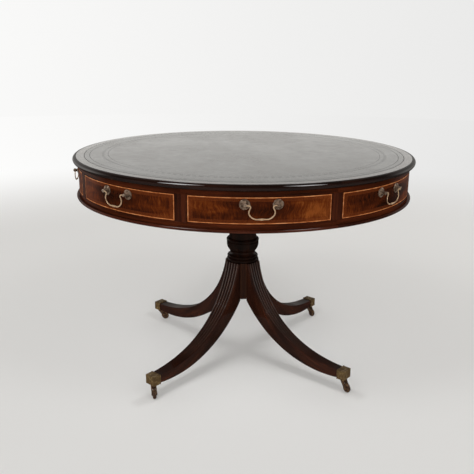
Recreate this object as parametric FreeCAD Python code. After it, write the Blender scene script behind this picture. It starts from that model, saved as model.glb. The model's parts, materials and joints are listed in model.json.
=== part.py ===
import FreeCAD, Part
import math
import os

# Revolving drum table: a round leather-lined top over a frieze of eight curved fronts,
# four of them drawers and four fixed, carried on a turned column with four reeded
# sabre legs, brass cap castors and brass swan-neck handles.
# Millimetres. +Z is up, the origin is on the floor below the column's axis,
# and the front drawer faces -Y.

# Whole table
full_turn = 360.0
top_diameter = 1150.0
table_height = 753.5
front_count = 8
leg_count = 4
overrun = 5.0
seat_gap = 0.3
fit_gap = 0.1
flatness = 0.0001

# Top board and its leather
top_thickness = 19.0
rim_width = 25.5
leather_thickness = 1.0
leather_joint = 0.3
nose_undercut = 9.0
nose_width = 11.5
nose_corner = 1.2
nose_band_share = 0.34

# Frieze of the drum, from the top board downwards
frieze_setback = 17.0
upper_rail_height = 15.5
front_height = 75.0
front_gap = 0.8
lower_rail_height = 13.5
rail_width = 43.0
bottom_board_thickness = 9.0
bead_projection = 9.2
bead_flat = 2.6
bead_band_share = 0.34
stile_width = 32.0
stile_depth = 30.0

# Fronts, curved outside and worked in flats behind
front_thickness = 20.0
front_flats = 4

# Drawers behind the real fronts
drawer_inset = 4.0
side_thickness = 9.0
back_thickness = 9.0
side_drop = 6.0
panel_thickness = 6.0
panel_rise = 6.0
panel_groove = 4.0
panel_gap = 0.2
back_margin = 8.0

# Guides and stops that the drawers run between
guide_thickness = 10.0
guide_gap = 0.5
runner_width = 14.0
stop_width = 60.0
stop_height = 36.0

# Handles: rosettes with a ball head, and a swan-neck bail hung between them
handle_span = 90.0
handle_drop = 19.7
rosette_sides = 8
rosette_radius = 14.5
rosette_rim = 2.2
ball_neck_radius = 4.4
ball_neck_height = 9.0
ball_radius = 5.4
ball_band = 4.2
ball_height = 15.5
ball_tip = 18.7
ball_tip_radius = 3.0
bail_sides = 6
bail_wire_radius = 2.0
bail_play = 0.06
bail_neck_x = 26.6
bail_neck_bend = 5.0
bail_neck_chords = 1
bail_belly_x = 38.6
bail_belly_drop = 22.0
bail_belly_bend = 17.0
bail_belly_chords = 2
bail_foot_x = 28.5
bail_foot_bend = 9.0
bail_foot_chords = 1
bail_length = 37.5
grip_half_length = 17.0
grip_flat = 6.0
grip_radius = 3.2

# Pivot that the drum turns on, and the key that keeps the drum from lifting off
hub_width = 150.0
post_radius = 20.0
post_play = 0.08
post_depth = 80.0
tenon_sides = 8
board_hole_gap = 1.0
key_length = 68.0
key_width = 14.0
key_height = 10.0
key_pocket_depth = 32.0
key_pocket_gap = 3.0
post_head = 6.0
bearer_sides = 8
bearer_radius = 125.0
bearer_thickness = 28.0
bearer_edge = 9.0

# Turned column, from the bottom of its leg block upwards
column_sides = 20
block_bottom = 224.0
block_radius = 54.0
leg_top = 359.5
ring_radius = 56.6
ring_root_radius = 52.5
ring_height = 13.0
upper_ring_radius = 55.0
upper_ring_root_radius = 50.5
upper_ring_height = 11.0
neck_radius = 44.0
neck_rise = 13.0
bowl_radius = 56.0
bowl_height = 31.0
bowl_swell_share = 0.72
bowl_swell_height_share = 0.38
bowl_band = 3.5
collar_ring_height = 12.0
shaft_base_radius = 46.0
shaft_top_radius = 40.0
shaft_swell = 1.5
cap_ring_radius = 47.0
cap_ring_height = 9.0
cap_flare_radius = 62.0
cap_flare_height = 16.0
cap_flare_share = 0.35

# Sabre legs. Each face's distance from the leg's centre of sweep, above its toe, goes
# from the column to the toe, and the two shares between steer a smooth curve.
toe_radius = 430.0
toe_top = 73.0
toe_bottom = 46.0
leg_root_inside = 21.0
top_bend_shares = (0.4, 1.01)
under_bend_shares = (0.474, 0.842)
leg_width_at_column = 57.0
leg_width_at_toe = 36.5
leg_spans = 10
reeded_spans = 7
reed_count = 5
reed_depth = 2.6
reed_crown_share = 0.25
reed_fade_start_share = 0.30

# Dovetail that joins each leg to the flat for it on the block
tongue_neck_width = 22.0
tongue_width = 32.0
tongue_depth = 18.0
tongue_height = 107.0
tongue_lap = 3.0

# Brass caps on the toes
cap_length = 29.5
cap_wall = 2.8
cap_band = 0.8
cap_band_length = 3.0
cap_chamfer = 1.6
toe_shoulder = 0.6
toe_length = 26.5

# Castors: a flange and horn that swivel on a pintle, and a wheel that trails it
pintle_sides = 8
pintle_radius = 4.0
pintle_play = 0.1
pintle_length = 16.0
pintle_well_gap = 0.5
flange_radius = 10.0
flange_thickness = 2.5
horn_root = 8.0
trail = 20.0
wheel_sides = 18
wheel_radius = 16.0
wheel_width = 11.0
wheel_chamfer = 2.4
wheel_gap = 1.6
cheek_gap = 0.6
cheek_thickness = 2.6
cheek_radius = 5.2
cheek_corners = 3
axle_sides = 8
axle_radius = 2.0
axle_play = 0.06
# The ways that the castors trail at rest, in degrees from the front, leg by leg
castor_headings = (10.0, 25.0, 28.0, 63.0)

# Places that follow from the sizes above
top_radius = top_diameter / 2
flat_radius = top_radius - nose_width
leather_radius = flat_radius - rim_width
frieze_radius = top_radius - frieze_setback
front_step = full_turn / front_count
leg_step = full_turn / leg_count
half_step = math.radians(front_step / 2)
rail_top = table_height - top_thickness
upper_rail_bottom = rail_top - upper_rail_height
front_top = upper_rail_bottom - front_gap
front_bottom = front_top - front_height
lower_rail_top = front_bottom - front_gap
lower_rail_bottom = lower_rail_top - lower_rail_height
drum_bottom = lower_rail_bottom - bottom_board_thickness
rail_inner_reach = frieze_radius - rail_width
stile_half_angle = math.asin(stile_width / 2 / frieze_radius)
opening_half = frieze_radius * math.sin(half_step - stile_half_angle)
front_half = opening_half - front_gap
drawer_half = front_half - drawer_inset
side_bottom = lower_rail_top + seat_gap
side_top = front_top - side_drop
panel_bottom = side_bottom + panel_rise
front_back = frieze_radius - front_thickness
guide_inner = drawer_half + guide_gap
guide_outer = guide_inner + guide_thickness
drawer_back = guide_outer + back_margin
guide_reach = (rail_inner_reach - guide_outer * math.sin(half_step)) / math.cos(half_step)
handle_z = front_top - handle_drop
handle_swing = math.degrees(math.asin(handle_span / 2 / frieze_radius))
handle_axis = frieze_radius * math.cos(math.radians(handle_swing)) + ball_height
bearer_top = drum_bottom - seat_gap
bearer_bottom = bearer_top - bearer_thickness
pocket_floor = rail_top - key_pocket_depth
key_bottom = pocket_floor + seat_gap
pocket_half = key_length / 2 + key_pocket_gap
block_flat = math.sqrt(block_radius ** 2 - (leg_width_at_column / 2) ** 2)
leg_taper = (leg_width_at_column - leg_width_at_toe) / (toe_radius - block_radius)
toe_middle = (toe_top + toe_bottom) / 2
toe_half = leg_width_at_toe / 2 - toe_shoulder
toe_rise = (toe_top - toe_bottom) / 2 - toe_shoulder
cap_half = toe_half + fit_gap + cap_wall
cap_rise = toe_rise + fit_gap + cap_wall
cap_radius = toe_radius + cap_length / 2
flange_top = toe_middle - cap_rise - seat_gap
horn_top = flange_top - flange_thickness
gap_half = wheel_width / 2 + cheek_gap
fork_half = gap_half + cheek_thickness


def vec(x, y, z):
    """A point or direction."""
    return FreeCAD.Vector(x, y, z)


ORIGIN = vec(0, 0, 0)
UP = vec(0, 0, 1)
ACROSS = vec(1, 0, 0)
ALONG = vec(0, 1, 0)


def box(low, high):
    """A block between two opposite corners."""
    size = vec(*high) - vec(*low)
    return Part.makeBox(size.x, size.y, size.z, vec(*low))


def rod(radius, low, high):
    """An upright cylinder on the table's axis."""
    return Part.makeCylinder(radius, high - low, vec(0, 0, low), UP)


def loop(points):
    """A closed outline through points."""
    return Part.makePolygon(points + [points[0]])


def prism(points, direction):
    """A flat outline pushed along a direction."""
    return Part.Face(loop(points)).extrude(direction)


def flat_faces(corners):
    """One flat face through four corners, or two where the four aren't in one plane."""
    first, second, third, last = corners
    normal = (second - first).cross(third - first).normalize()
    if abs(normal.dot(last - first)) < flatness:
        return [Part.Face(loop(corners))]
    return [Part.Face(loop([first, second, third])), Part.Face(loop([first, third, last]))]


def skin(outlines):
    """A solid of flat faces from outline to outline, all with as many points."""
    faces = [Part.Face(loop(outlines[0])), Part.Face(loop(outlines[-1]))]
    for low, high in zip(outlines, outlines[1:]):
        for index in range(len(low)):
            faces += flat_faces([low[index - 1], low[index], high[index], high[index - 1]])
    solid = Part.makeSolid(Part.makeShell(faces))
    return solid if solid.Volume > 0 else solid.reversed()


def round_turned(*pairs):
    """A truly round upright turning, from its half section as radius and height."""
    corners = [vec(radius, 0, height) for radius, height in pairs]
    return Part.Face(loop(corners)).revolve(ORIGIN, UP, full_turn)


def side_corners(sides, reach, centre, axis):
    """Corners of a regular outline round an axis, its flats as far out as the reach."""
    first = ALONG if axis == UP else UP
    second = axis.cross(first)
    corner_reach = reach / math.cos(math.pi / sides)
    points = []
    for index in range(sides):
        turn = (index + 0.5) * 2 * math.pi / sides
        points.append(centre + (first * math.cos(turn) + second * math.sin(turn)) * corner_reach)
    return points


def flat_turned(sides, centre, axis, *pairs):
    """A turning worked in flats, from its half section as reach and distance along."""
    return skin([side_corners(sides, reach, centre + axis * along, axis)
                 for reach, along in pairs])


def facing(shape, angle):
    """A copy turned about the table's axis, counted anticlockwise from the front."""
    copy = shape.copy()
    copy.rotate(ORIGIN, UP, angle)
    return copy


def save(node, *solids):
    """Writes one sub-part."""
    shape = solids[0] if len(solids) == 1 else Part.makeCompound(list(solids))
    shape.exportStep(os.path.join("parts", node + ".step"))


def make_top_board():
    """The round top, with a recess for the leather and a moulded nose."""
    recess = table_height - leather_thickness
    band = top_thickness * nose_band_share
    edge = top_radius - nose_corner
    return round_turned(
        (0, rail_top),
        (top_radius - nose_undercut, rail_top),
        (top_radius, rail_top + band),
        (edge, table_height - band),
        (flat_radius, table_height),
        (leather_radius, table_height),
        (leather_radius, recess),
        (0, recess))


def make_leather():
    """The leather lining, flush with the rim."""
    return rod(leather_radius - leather_joint, table_height - leather_thickness, table_height)


def make_rail(low, high):
    """A rail of the frieze, round outside and worked in flats inside."""
    inside = flat_turned(2 * front_count, ORIGIN, UP, (rail_inner_reach, low - overrun),
                         (rail_inner_reach, high + overrun))
    return rod(frieze_radius, low, high).cut(inside)


def make_bottom_board():
    """The dust board under the drum, with a bead worked on its edge."""
    hole = post_radius + board_hole_gap
    band = bottom_board_thickness * bead_band_share
    root = frieze_radius + bead_flat
    crown = frieze_radius + bead_projection
    return round_turned(
        (hole, drum_bottom),
        (root, drum_bottom),
        (crown, drum_bottom + band),
        (crown, lower_rail_bottom - band),
        (root, lower_rail_bottom),
        (hole, lower_rail_bottom))


def make_opening(half_width, low, high):
    """The space of one front, for cutting what stands beside it."""
    return box((-half_width, -top_radius, low), (half_width, -guide_outer, high))


def make_stile():
    """One upright between two fronts, its flanks parallel to the drawers beside it."""
    block = rod(frieze_radius, lower_rail_top, upper_rail_bottom)
    block = block.common(box((-stile_width, -top_radius, lower_rail_top),
                             (stile_width, stile_depth - frieze_radius, upper_rail_bottom)))
    opening = make_opening(opening_half, lower_rail_top - overrun, upper_rail_bottom + overrun)
    for side in (-1, 1):
        block = block.cut(facing(opening, side * front_step / 2))
    return block


def make_space_behind(reach, low, high):
    """The space behind a front, bounded by flats whose corners are at the reach."""
    sweep = 2 * math.asin(front_half / front_back)
    corners = []
    for index in range(front_flats + 1):
        turn = sweep * (index / front_flats - 0.5)
        corners.append(vec(reach * math.sin(turn), -reach * math.cos(turn), low))
    ends = [vec(corner.x, 0, low) for corner in (corners[-1], corners[0])]
    return prism(corners + ends, UP * (high - low))


def make_front():
    """A front, curved outside and worked in flats behind."""
    board = rod(frieze_radius, front_bottom, front_top)
    board = board.common(make_opening(front_half, front_bottom, front_top))
    return board.cut(make_space_behind(front_back, front_bottom - overrun, front_top + overrun))


def make_groove_space(gap):
    """The grooves in a drawer's front and sides, or the panel in them, less a gap."""
    half = drawer_half - side_thickness + panel_groove - gap
    low = panel_bottom - panel_gap + gap
    high = panel_bottom + panel_thickness + panel_gap - gap
    space = box((-half, -top_radius, low), (half, -drawer_back, high))
    return space.common(make_space_behind(front_back + panel_groove - gap, low, high))


def make_drawer_sides():
    """The two sides, grooved for the bottom panel, and the back between them."""
    within = make_space_behind(front_back, side_bottom, side_top)
    groove = make_groove_space(0)
    inside = drawer_half - side_thickness
    solids = []
    for side in (-1, 1):
        edges = sorted((side * drawer_half, side * inside))
        plank = box((edges[0], -top_radius, side_bottom), (edges[1], -drawer_back, side_top))
        solids.append(plank.common(within).cut(groove))
    solids.append(box((-inside, -drawer_back - back_thickness,
                       panel_bottom + panel_thickness + panel_gap),
                      (inside, -drawer_back, side_top)))
    return solids


def make_guides():
    """The two guides of a drawer, each a board with a ledge that the side runs on."""
    solids = []
    for side in (-1, 1):
        outline = [
            vec(side * guide_outer, -guide_outer, lower_rail_bottom),
            vec(side * guide_outer, -guide_outer, rail_top),
            vec(side * guide_inner, -guide_outer, rail_top),
            vec(side * guide_inner, -guide_outer, lower_rail_top),
            vec(side * (guide_inner - runner_width), -guide_outer, lower_rail_top),
            vec(side * (guide_inner - runner_width), -guide_outer, lower_rail_bottom),
        ]
        solids.append(prism(outline, vec(0, guide_outer - guide_reach, 0)))
    return solids


def make_stop():
    """The block behind a drawer that stops it with its front flush."""
    return box((-stop_width / 2, -drawer_back + seat_gap, lower_rail_bottom),
               (stop_width / 2, -guide_outer, lower_rail_bottom + stop_height))


def make_rosette(side):
    """One rosette with a ball head, seated on the curved front, bored for the bail."""
    foot = vec(side * handle_span / 2, ball_height - handle_axis, handle_z)
    rosette = flat_turned(
        rosette_sides, foot, -ALONG,
        (rosette_radius, -overrun),
        (rosette_radius, rosette_rim),
        (ball_neck_radius, ball_neck_height),
        (ball_radius, ball_height - ball_band / 2),
        (ball_radius, ball_height + ball_band / 2),
        (ball_tip_radius, ball_tip))
    front = box((-top_radius, -frieze_radius, front_bottom), (top_radius, 0, front_top))
    rosette = rosette.cut(facing(front, side * handle_swing))
    centre = vec(foot.x, -handle_axis, handle_z)
    play = bail_wire_radius + bail_play
    bore = flat_turned(bail_sides, centre, ACROSS * -side,
                       (play, -bail_play), (play, ball_radius + overrun))
    return rosette.cut(bore)


def bend_path(points, bends):
    """The stations of a bent wire, with each bend of a radius and a count of chords."""
    stations = [points[0]]
    for before, corner, after, (radius, chords) in zip(points, points[1:], points[2:], bends):
        back = (before - corner).normalize()
        ahead = (after - corner).normalize()
        half_turn = back.getAngle(ahead) / 2
        centre = corner + (back + ahead).normalize() * (radius / math.sin(half_turn))
        start = corner + back * (radius / math.tan(half_turn)) - centre
        end = corner + ahead * (radius / math.tan(half_turn)) - centre
        sweep = start.getAngle(end)
        for chord in range(chords + 1):
            turn = sweep * chord / chords
            stations.append(centre + (start * math.sin(sweep - turn) + end * math.sin(turn))
                            * (1 / math.sin(sweep)))
    return stations


def wire_outline(before, point, after, radius):
    """A wire's outline at a station, in the plane that halves its turn there."""
    back = (point - before).normalize()
    ahead = (after - point).normalize()
    run = (back + ahead).normalize()
    side = ALONG.cross(run)
    stretch = 1 / math.cos(back.getAngle(ahead) / 2)
    points = []
    for index in range(bail_sides):
        turn = index * 2 * math.pi / bail_sides
        points.append(point + ALONG * (radius * math.cos(turn))
                      + side * (radius * stretch * math.sin(turn)))
    return points


def make_bail():
    """The swan-neck bail: a bent wire with a swelling grip, hanging from its pins."""
    def at(x, drop):
        return vec(x, -handle_axis, handle_z - drop)

    half = [(handle_span / 2, 0), (bail_neck_x, 0),
            (bail_belly_x, bail_belly_drop), (bail_foot_x, bail_length),
            (grip_half_length, bail_length)]
    bends = ((bail_neck_bend, bail_neck_chords), (bail_belly_bend, bail_belly_chords),
             (bail_foot_bend, bail_foot_chords))
    stations = bend_path([at(x, drop) for x, drop in half], bends)
    stations.append(at(grip_flat, bail_length))
    stations += [vec(-point.x, point.y, point.z) for point in reversed(stations)]
    ends = [stations[0] * 2 - stations[1]] + stations + [stations[-1] * 2 - stations[-2]]
    outlines = []
    for before, point, after in zip(ends, ends[1:], ends[2:]):
        radius = grip_radius if abs(point.x) <= grip_flat else bail_wire_radius
        outlines.append(wire_outline(before, point, after, radius))
    return skin(outlines)


def make_hub():
    """The block that joins the bottom board to the top and turns on the post."""
    half = hub_width / 2
    block = box((-half, -half, lower_rail_bottom), (half, half, rail_top))
    bore = rod(post_radius + post_play, lower_rail_bottom - overrun, rail_top)
    pocket = box((-pocket_half, -pocket_half, pocket_floor),
                 (pocket_half, pocket_half, rail_top + overrun))
    return block.cut(bore).cut(pocket)


def make_key(gap):
    """The key through the post that keeps the drum from lifting off, or its mortise."""
    return box((-key_length / 2, -key_width / 2 - gap, key_bottom - gap),
               (key_length / 2, key_width / 2 + gap, key_bottom + key_height + gap))


def make_tenon():
    """The foot of the post, worked in flats, or the column's socket for it."""
    reach = post_radius * math.cos(math.pi / tenon_sides)
    return flat_turned(tenon_sides, ORIGIN, UP,
                       (reach, bearer_bottom - post_depth), (reach, bearer_bottom))


def make_post():
    """The pivot post, let into the column and standing through the hub."""
    post = rod(post_radius, bearer_bottom, key_bottom + key_height + post_head)
    return post.fuse(make_tenon()).cut(make_key(fit_gap))


def make_bearer():
    """The bearer on the column, on which the drum rides."""
    plate = flat_turned(bearer_sides, ORIGIN, UP, (bearer_radius - bearer_edge, bearer_bottom),
                        (bearer_radius, bearer_bottom + bearer_edge), (bearer_radius, bearer_top))
    return plate.cut(rod(post_radius, bearer_bottom - overrun, bearer_top + overrun))


def make_tongue(clearance):
    """The dovetail of a leg that points towards +X, or its socket."""
    root = block_flat + tongue_lap
    tip = block_flat - tongue_depth - clearance
    neck = tongue_neck_width / 2 + clearance
    wide = tongue_width / 2 + clearance
    low = block_bottom - (overrun if clearance else 0)
    outline = [vec(root, -neck, low), vec(block_flat, -neck, low), vec(tip, -wide, low),
               vec(tip, wide, low), vec(block_flat, neck, low), vec(root, neck, low)]
    return prism(outline, UP * (block_bottom + tongue_height + clearance - low))


def make_block():
    """The column's leg block, with a flat for each leg and a socket in each flat."""
    half = leg_width_at_column / 2
    points = []
    for index in range(leg_count):
        turn = FreeCAD.Rotation(UP, (index + 0.5) * leg_step)
        points.append(turn.multVec(vec(block_flat, -half, block_bottom)))
        points.append(turn.multVec(vec(block_flat, half, block_bottom)))
        halfway = FreeCAD.Rotation(UP, (index + 1) * leg_step)
        points.append(halfway.multVec(vec(block_radius, 0, block_bottom)))
    block = prism(points, UP * (leg_top - block_bottom))
    socket = make_tongue(fit_gap)
    for index in range(leg_count):
        block = block.cut(facing(socket, (index + 0.5) * leg_step))
    return block


def make_column():
    """The turned column above its leg block, with the socket of the post."""
    ring_high = leg_top + ring_height
    second_high = ring_high + upper_ring_height
    neck = second_high + neck_rise
    bowl_high = neck + bowl_height
    third_low = bowl_high + bowl_band
    third_high = third_low + collar_ring_height
    cap_low = bearer_bottom - cap_flare_height - cap_ring_height
    cap_high = cap_low + cap_ring_height
    shaft_mean = (shaft_base_radius + shaft_top_radius) / 2 + shaft_swell
    swell = neck_radius + (bowl_radius - neck_radius) * bowl_swell_share
    flare = shaft_top_radius + (cap_flare_radius - shaft_top_radius) * cap_flare_share
    column = flat_turned(
        column_sides, ORIGIN, UP,
        (ring_root_radius, leg_top),
        (ring_radius, (leg_top + ring_high) / 2),
        (upper_ring_root_radius, ring_high),
        (upper_ring_radius, (ring_high + second_high) / 2),
        (upper_ring_root_radius, second_high),
        (neck_radius, neck),
        (swell, neck + bowl_height * bowl_swell_height_share),
        (bowl_radius, bowl_high),
        (ring_root_radius, third_low),
        (ring_radius, (third_low + third_high) / 2),
        (shaft_base_radius, third_high),
        (shaft_mean, (third_high + cap_low) / 2),
        (shaft_top_radius, cap_low),
        (cap_ring_radius, (cap_low + cap_high) / 2),
        (shaft_top_radius, cap_high),
        (flare, (cap_high + bearer_bottom) / 2),
        (cap_flare_radius, bearer_bottom))
    return column.fuse(make_block()).removeSplitter().cut(make_tenon())


def reach_at(first, last, bend_shares, share):
    """A leg face's distance from the centre of sweep, at a share of the sweep."""
    rest = 1 - share
    second, third = [first + (last - first) * bend for bend in bend_shares]
    return (first * rest ** 3 + second * 3 * rest ** 2 * share
            + third * 3 * rest * share ** 2 + last * share ** 3)


def reed_depth_at(span):
    """The depth of the hollows between reeds, fading out along the leg."""
    start = reed_fade_start_share * leg_spans
    fade = max((span - start) / (reeded_spans - start), 0)
    return reed_depth * (1 - fade * fade * (3 - 2 * fade))


def leg_outline(span, reeded):
    """One cross-section of a leg that points towards +X, with or without reeds on top."""
    share = span / leg_spans
    angle = math.pi + share * math.pi / 2
    out = vec(math.cos(angle), 0, math.sin(angle))
    centre = vec(toe_radius, 0, leg_top)

    def at(reach, side_share):
        point = centre + out * reach
        width = leg_width_at_toe + leg_taper * (toe_radius - point.x)
        return point + ALONG * (width / 2 * side_share)

    top = reach_at(toe_radius - block_radius, leg_top - toe_top, top_bend_shares, share)
    under = reach_at(toe_radius + leg_root_inside, leg_top - toe_bottom,
                     under_bend_shares, share)
    points = [at(under, -1), at(under, 1)]
    if not reeded:
        return points + [at(top, 1), at(top, -1)]
    hollow = top + reed_depth_at(span)
    for index in range(reed_count):
        start, rise, fall = [1 - 2 * (index + step) / reed_count
                             for step in (0, reed_crown_share, 1 - reed_crown_share)]
        points += [at(hollow, start), at(top, rise), at(top, fall)]
    return points + [at(hollow, -1)]


def make_leg():
    """A reeded sabre leg that points towards +X, with its dovetail and its toe."""
    reeded = skin([leg_outline(span, True) for span in range(reeded_spans + 1)])
    plain = skin([leg_outline(span, False) for span in range(reeded_spans, leg_spans + 1)])
    shoulder = block_flat + fit_gap
    column_side = box((-top_radius, -top_radius, 0), (shoulder, top_radius, table_height))
    toe = box((toe_radius - overrun, -toe_half, toe_middle - toe_rise),
              (toe_radius + toe_length, toe_half, toe_middle + toe_rise))
    well = flat_turned(pintle_sides, vec(cap_radius, 0, 0), UP,
                       (pintle_radius + pintle_well_gap, toe_middle - toe_rise - overrun),
                       (pintle_radius + pintle_well_gap, flange_top + pintle_length + seat_gap))
    blade = reeded.fuse(plain).cut(column_side)
    return blade.fuse([make_tongue(0), toe]).cut(well).removeSplitter()


def make_cap():
    """A cast brass toe cap with a raised band, bored below for the castor's pintle."""
    back = toe_radius + seat_gap
    end = toe_radius + cap_length
    inner_half = toe_half + fit_gap
    inner_rise = toe_rise + fit_gap
    body = box((back, -cap_half, toe_middle - cap_rise), (end, cap_half, toe_middle + cap_rise))
    rim = [edge for edge in body.Edges
           if min(vertex.Point.x for vertex in edge.Vertexes) > end - seat_gap]
    body = body.makeChamfer(cap_chamfer, rim)
    band = box((back, -cap_half - cap_band, toe_middle - cap_rise - cap_band),
               (back + cap_band_length, cap_half + cap_band, toe_middle + cap_rise + cap_band))
    inside = box((toe_radius - overrun, -inner_half, toe_middle - inner_rise),
                 (toe_radius + toe_length + fit_gap, inner_half, toe_middle + inner_rise))
    bore = flat_turned(pintle_sides, vec(cap_radius, 0, toe_middle), UP,
                       (pintle_radius + pintle_play, -cap_rise - overrun),
                       (pintle_radius + pintle_play, 0))
    return body.fuse(band).cut(inside).cut(bore).removeSplitter()


def make_horn():
    """The horn: pintle, flange, forked arm and axle, trailing towards +X."""
    pintle_reach = pintle_radius * math.cos(math.pi / pintle_sides)
    pintle = flat_turned(pintle_sides, ORIGIN, UP,
                         (pintle_reach, horn_top), (pintle_reach, flange_top + pintle_length))
    flange = flat_turned(pintle_sides, ORIGIN, UP,
                         (flange_radius, horn_top), (flange_radius, flange_top))
    centre = vec(trail, 0, wheel_radius)
    lean = math.atan2(horn_top - wheel_radius, -trail)
    outline = [vec(horn_root, -fork_half, horn_top), vec(-horn_root, -fork_half, horn_top)]
    for index in range(cheek_corners + 1):
        turn = lean + math.pi * (0.5 + index / cheek_corners)
        outline.append(centre + vec(math.cos(turn), 0, math.sin(turn)) * cheek_radius
                       - ALONG * fork_half)
    arm = prism(outline, ALONG * (2 * fork_half))
    gap = box((trail - wheel_radius - wheel_gap, -gap_half, -overrun),
              (trail + wheel_radius, gap_half, 2 * wheel_radius + wheel_gap))
    reach = gap_half + cheek_thickness / 2
    axle_reach = axle_radius * math.cos(math.pi / axle_sides)
    axle = flat_turned(axle_sides, centre, ALONG, (axle_reach, -reach), (axle_reach, reach))
    return arm.cut(gap).fuse([flange, pintle, axle]).removeSplitter()


def make_wheel():
    """The castor's wheel, with a flat of its tread on the floor."""
    half = wheel_width / 2
    centre = vec(trail, 0, wheel_radius)
    face = wheel_radius - wheel_chamfer
    wheel = flat_turned(wheel_sides, centre, ALONG, (face, -half),
                        (wheel_radius, -half + wheel_chamfer),
                        (wheel_radius, half - wheel_chamfer), (face, half))
    bore = axle_radius + axle_play
    return wheel.cut(flat_turned(axle_sides, centre, ALONG, (bore, -half - overrun),
                                 (bore, half + overrun)))


def place_castor(shape, leg_angle, heading):
    """A castor piece, turned to its heading and moved under its cap."""
    copy = facing(shape, heading - 90)
    turn = math.radians(leg_angle)
    copy.translate(vec(cap_radius * math.sin(turn), -cap_radius * math.cos(turn), 0))
    return copy


os.makedirs("parts", exist_ok=True)

save("top_board", make_top_board())
save("leather_top", make_leather())
save("upper_rail", make_rail(upper_rail_bottom, rail_top))
save("lower_rail", make_rail(lower_rail_bottom, lower_rail_top))
save("bottom_board", make_bottom_board())
save("hub_block", make_hub())

stile = make_stile()
save("frieze_stiles", *[facing(stile, (index + 0.5) * front_step) for index in range(front_count)])

drawer_angles = [index * front_step for index in range(0, front_count, 2)]
dummy_angles = [index * front_step for index in range(1, front_count, 2)]
guides = make_guides()
front = make_front()
rosettes = [make_rosette(side) for side in (-1, 1)]
save("drawer_guides", *[facing(guide, angle) for angle in drawer_angles for guide in guides])
save("drawer_stops", *[facing(make_stop(), angle) for angle in drawer_angles])
save("dummy_fronts", *[facing(front, angle) for angle in dummy_angles])
save("dummy_rosettes", *[facing(rosette, angle) for angle in dummy_angles for rosette in rosettes])

drawer_front = front.cut(make_groove_space(0))
drawer_sides = make_drawer_sides()
drawer_panel = make_groove_space(panel_gap)
bail = make_bail()
for index in range(front_count):
    angle = index * front_step
    number = str(index + 1)
    save("bail_" + number, facing(bail, angle))
    if angle in drawer_angles:
        save("drawer_" + number + "_front", facing(drawer_front, angle))
        save("drawer_" + number + "_sides", *[facing(solid, angle) for solid in drawer_sides])
        save("drawer_" + number + "_bottom", facing(drawer_panel, angle))
        save("drawer_" + number + "_rosettes", *[facing(rosette, angle) for rosette in rosettes])

save("column", make_column())
save("bearer_plate", make_bearer())
save("pivot_post", make_post())
save("post_key", make_key(0))

leg = make_leg()
toe_cap = make_cap()
horn = make_horn()
wheel = make_wheel()
leg_angles = [(index - 0.5) * leg_step for index in range(leg_count)]
save("toe_caps", *[facing(toe_cap, angle - 90) for angle in leg_angles])
leg_names = ("front_left", "front_right", "back_right", "back_left")
for name, angle, heading in zip(leg_names, leg_angles, castor_headings):
    save("leg_" + name, facing(leg, angle - 90))
    save("castor_horn_" + name, place_castor(horn, angle, heading))
    save("castor_wheel_" + name, place_castor(wheel, angle, heading))
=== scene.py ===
"""A revolving drum table, dressed over its fixed frame.

Lengths are millimetres and angles degrees while a piece is made. A finished mesh is
scaled to metres once, when it becomes an object.
"""

import json
import logging
import math
from dataclasses import dataclass
from enum import Enum
from typing import Mapping, Sequence, Union

import bmesh
import bpy
from bmesh.types import BMEdge, BMesh, BMFace, BMVert
from mathutils import Matrix, Vector


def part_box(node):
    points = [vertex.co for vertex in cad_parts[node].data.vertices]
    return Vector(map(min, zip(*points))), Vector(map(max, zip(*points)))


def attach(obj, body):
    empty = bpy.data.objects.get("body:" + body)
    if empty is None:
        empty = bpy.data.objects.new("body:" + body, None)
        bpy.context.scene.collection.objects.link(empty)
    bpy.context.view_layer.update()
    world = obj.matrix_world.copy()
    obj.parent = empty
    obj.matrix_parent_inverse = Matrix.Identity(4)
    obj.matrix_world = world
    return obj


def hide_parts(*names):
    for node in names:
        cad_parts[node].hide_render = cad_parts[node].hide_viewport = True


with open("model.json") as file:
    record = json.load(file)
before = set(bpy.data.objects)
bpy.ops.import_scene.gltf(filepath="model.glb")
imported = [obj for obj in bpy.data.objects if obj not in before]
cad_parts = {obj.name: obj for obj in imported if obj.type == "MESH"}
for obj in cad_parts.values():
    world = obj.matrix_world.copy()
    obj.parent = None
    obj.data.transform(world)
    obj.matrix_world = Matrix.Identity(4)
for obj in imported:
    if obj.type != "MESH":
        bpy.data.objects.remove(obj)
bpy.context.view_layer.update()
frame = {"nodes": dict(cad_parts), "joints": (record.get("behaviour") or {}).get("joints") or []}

LOG = logging.getLogger("drum_table")
MM = 0.001
ORIGIN = Vector((0, 0, 0))
UP = Vector((0, 0, 1))
Colour = tuple[float, float, float, float]
Stops = tuple[tuple[float, Colour], ...]
Station = tuple[float, ...]
Size = tuple[float, float, float]

# How near two points are one, how near a face counts as on a plane, and a cut's slack.
NEAR = 0.001
FACE_SLACK = 0.01
CUT_SLACK = 0.0001

# The fronts are numbered from 1 round the drum, from the one that faces the viewer.
SECTORS = 8
HALF_SECTOR = 180 / SECTORS
DRAWERS = (1, 3, 5, 7)
FIXED = (2, 4, 6, 8)
LEG_NAMES = ("front_left", "front_right", "back_right", "back_left")

# How far apart on the log the wood of neighbouring pieces is cut.
SECTOR_CUT = 977.0
VENEER_CUT = (733.0, 61.0)
LEG_CUT = (811.0, 67.0)

# How soft a band's sides are, as a share of half its width.
BAND_EDGE = 0.4

# The reach at which the rim's grain crosses at its true size, and a leg's length of grain.
RIM_REACH = 560.0
LEG_GRAIN = 620.0


def shade(red: float, green: float, blue: float) -> Colour:
    """A colour of a picture, in Blender's linear values.

    Args:
        red: Its red, of 255.
        green: Its green, of 255.
        blue: Its blue, of 255.

    Returns:
        The linear colour with an alpha of one.
    """
    def linear(value: float) -> float:
        """One channel without the picture's curve."""
        part = value / 255
        return part / 12.92 if part < 0.04045 else ((part + 0.055) / 1.055) ** 2.4

    return linear(red), linear(green), linear(blue), 1.0


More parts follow.
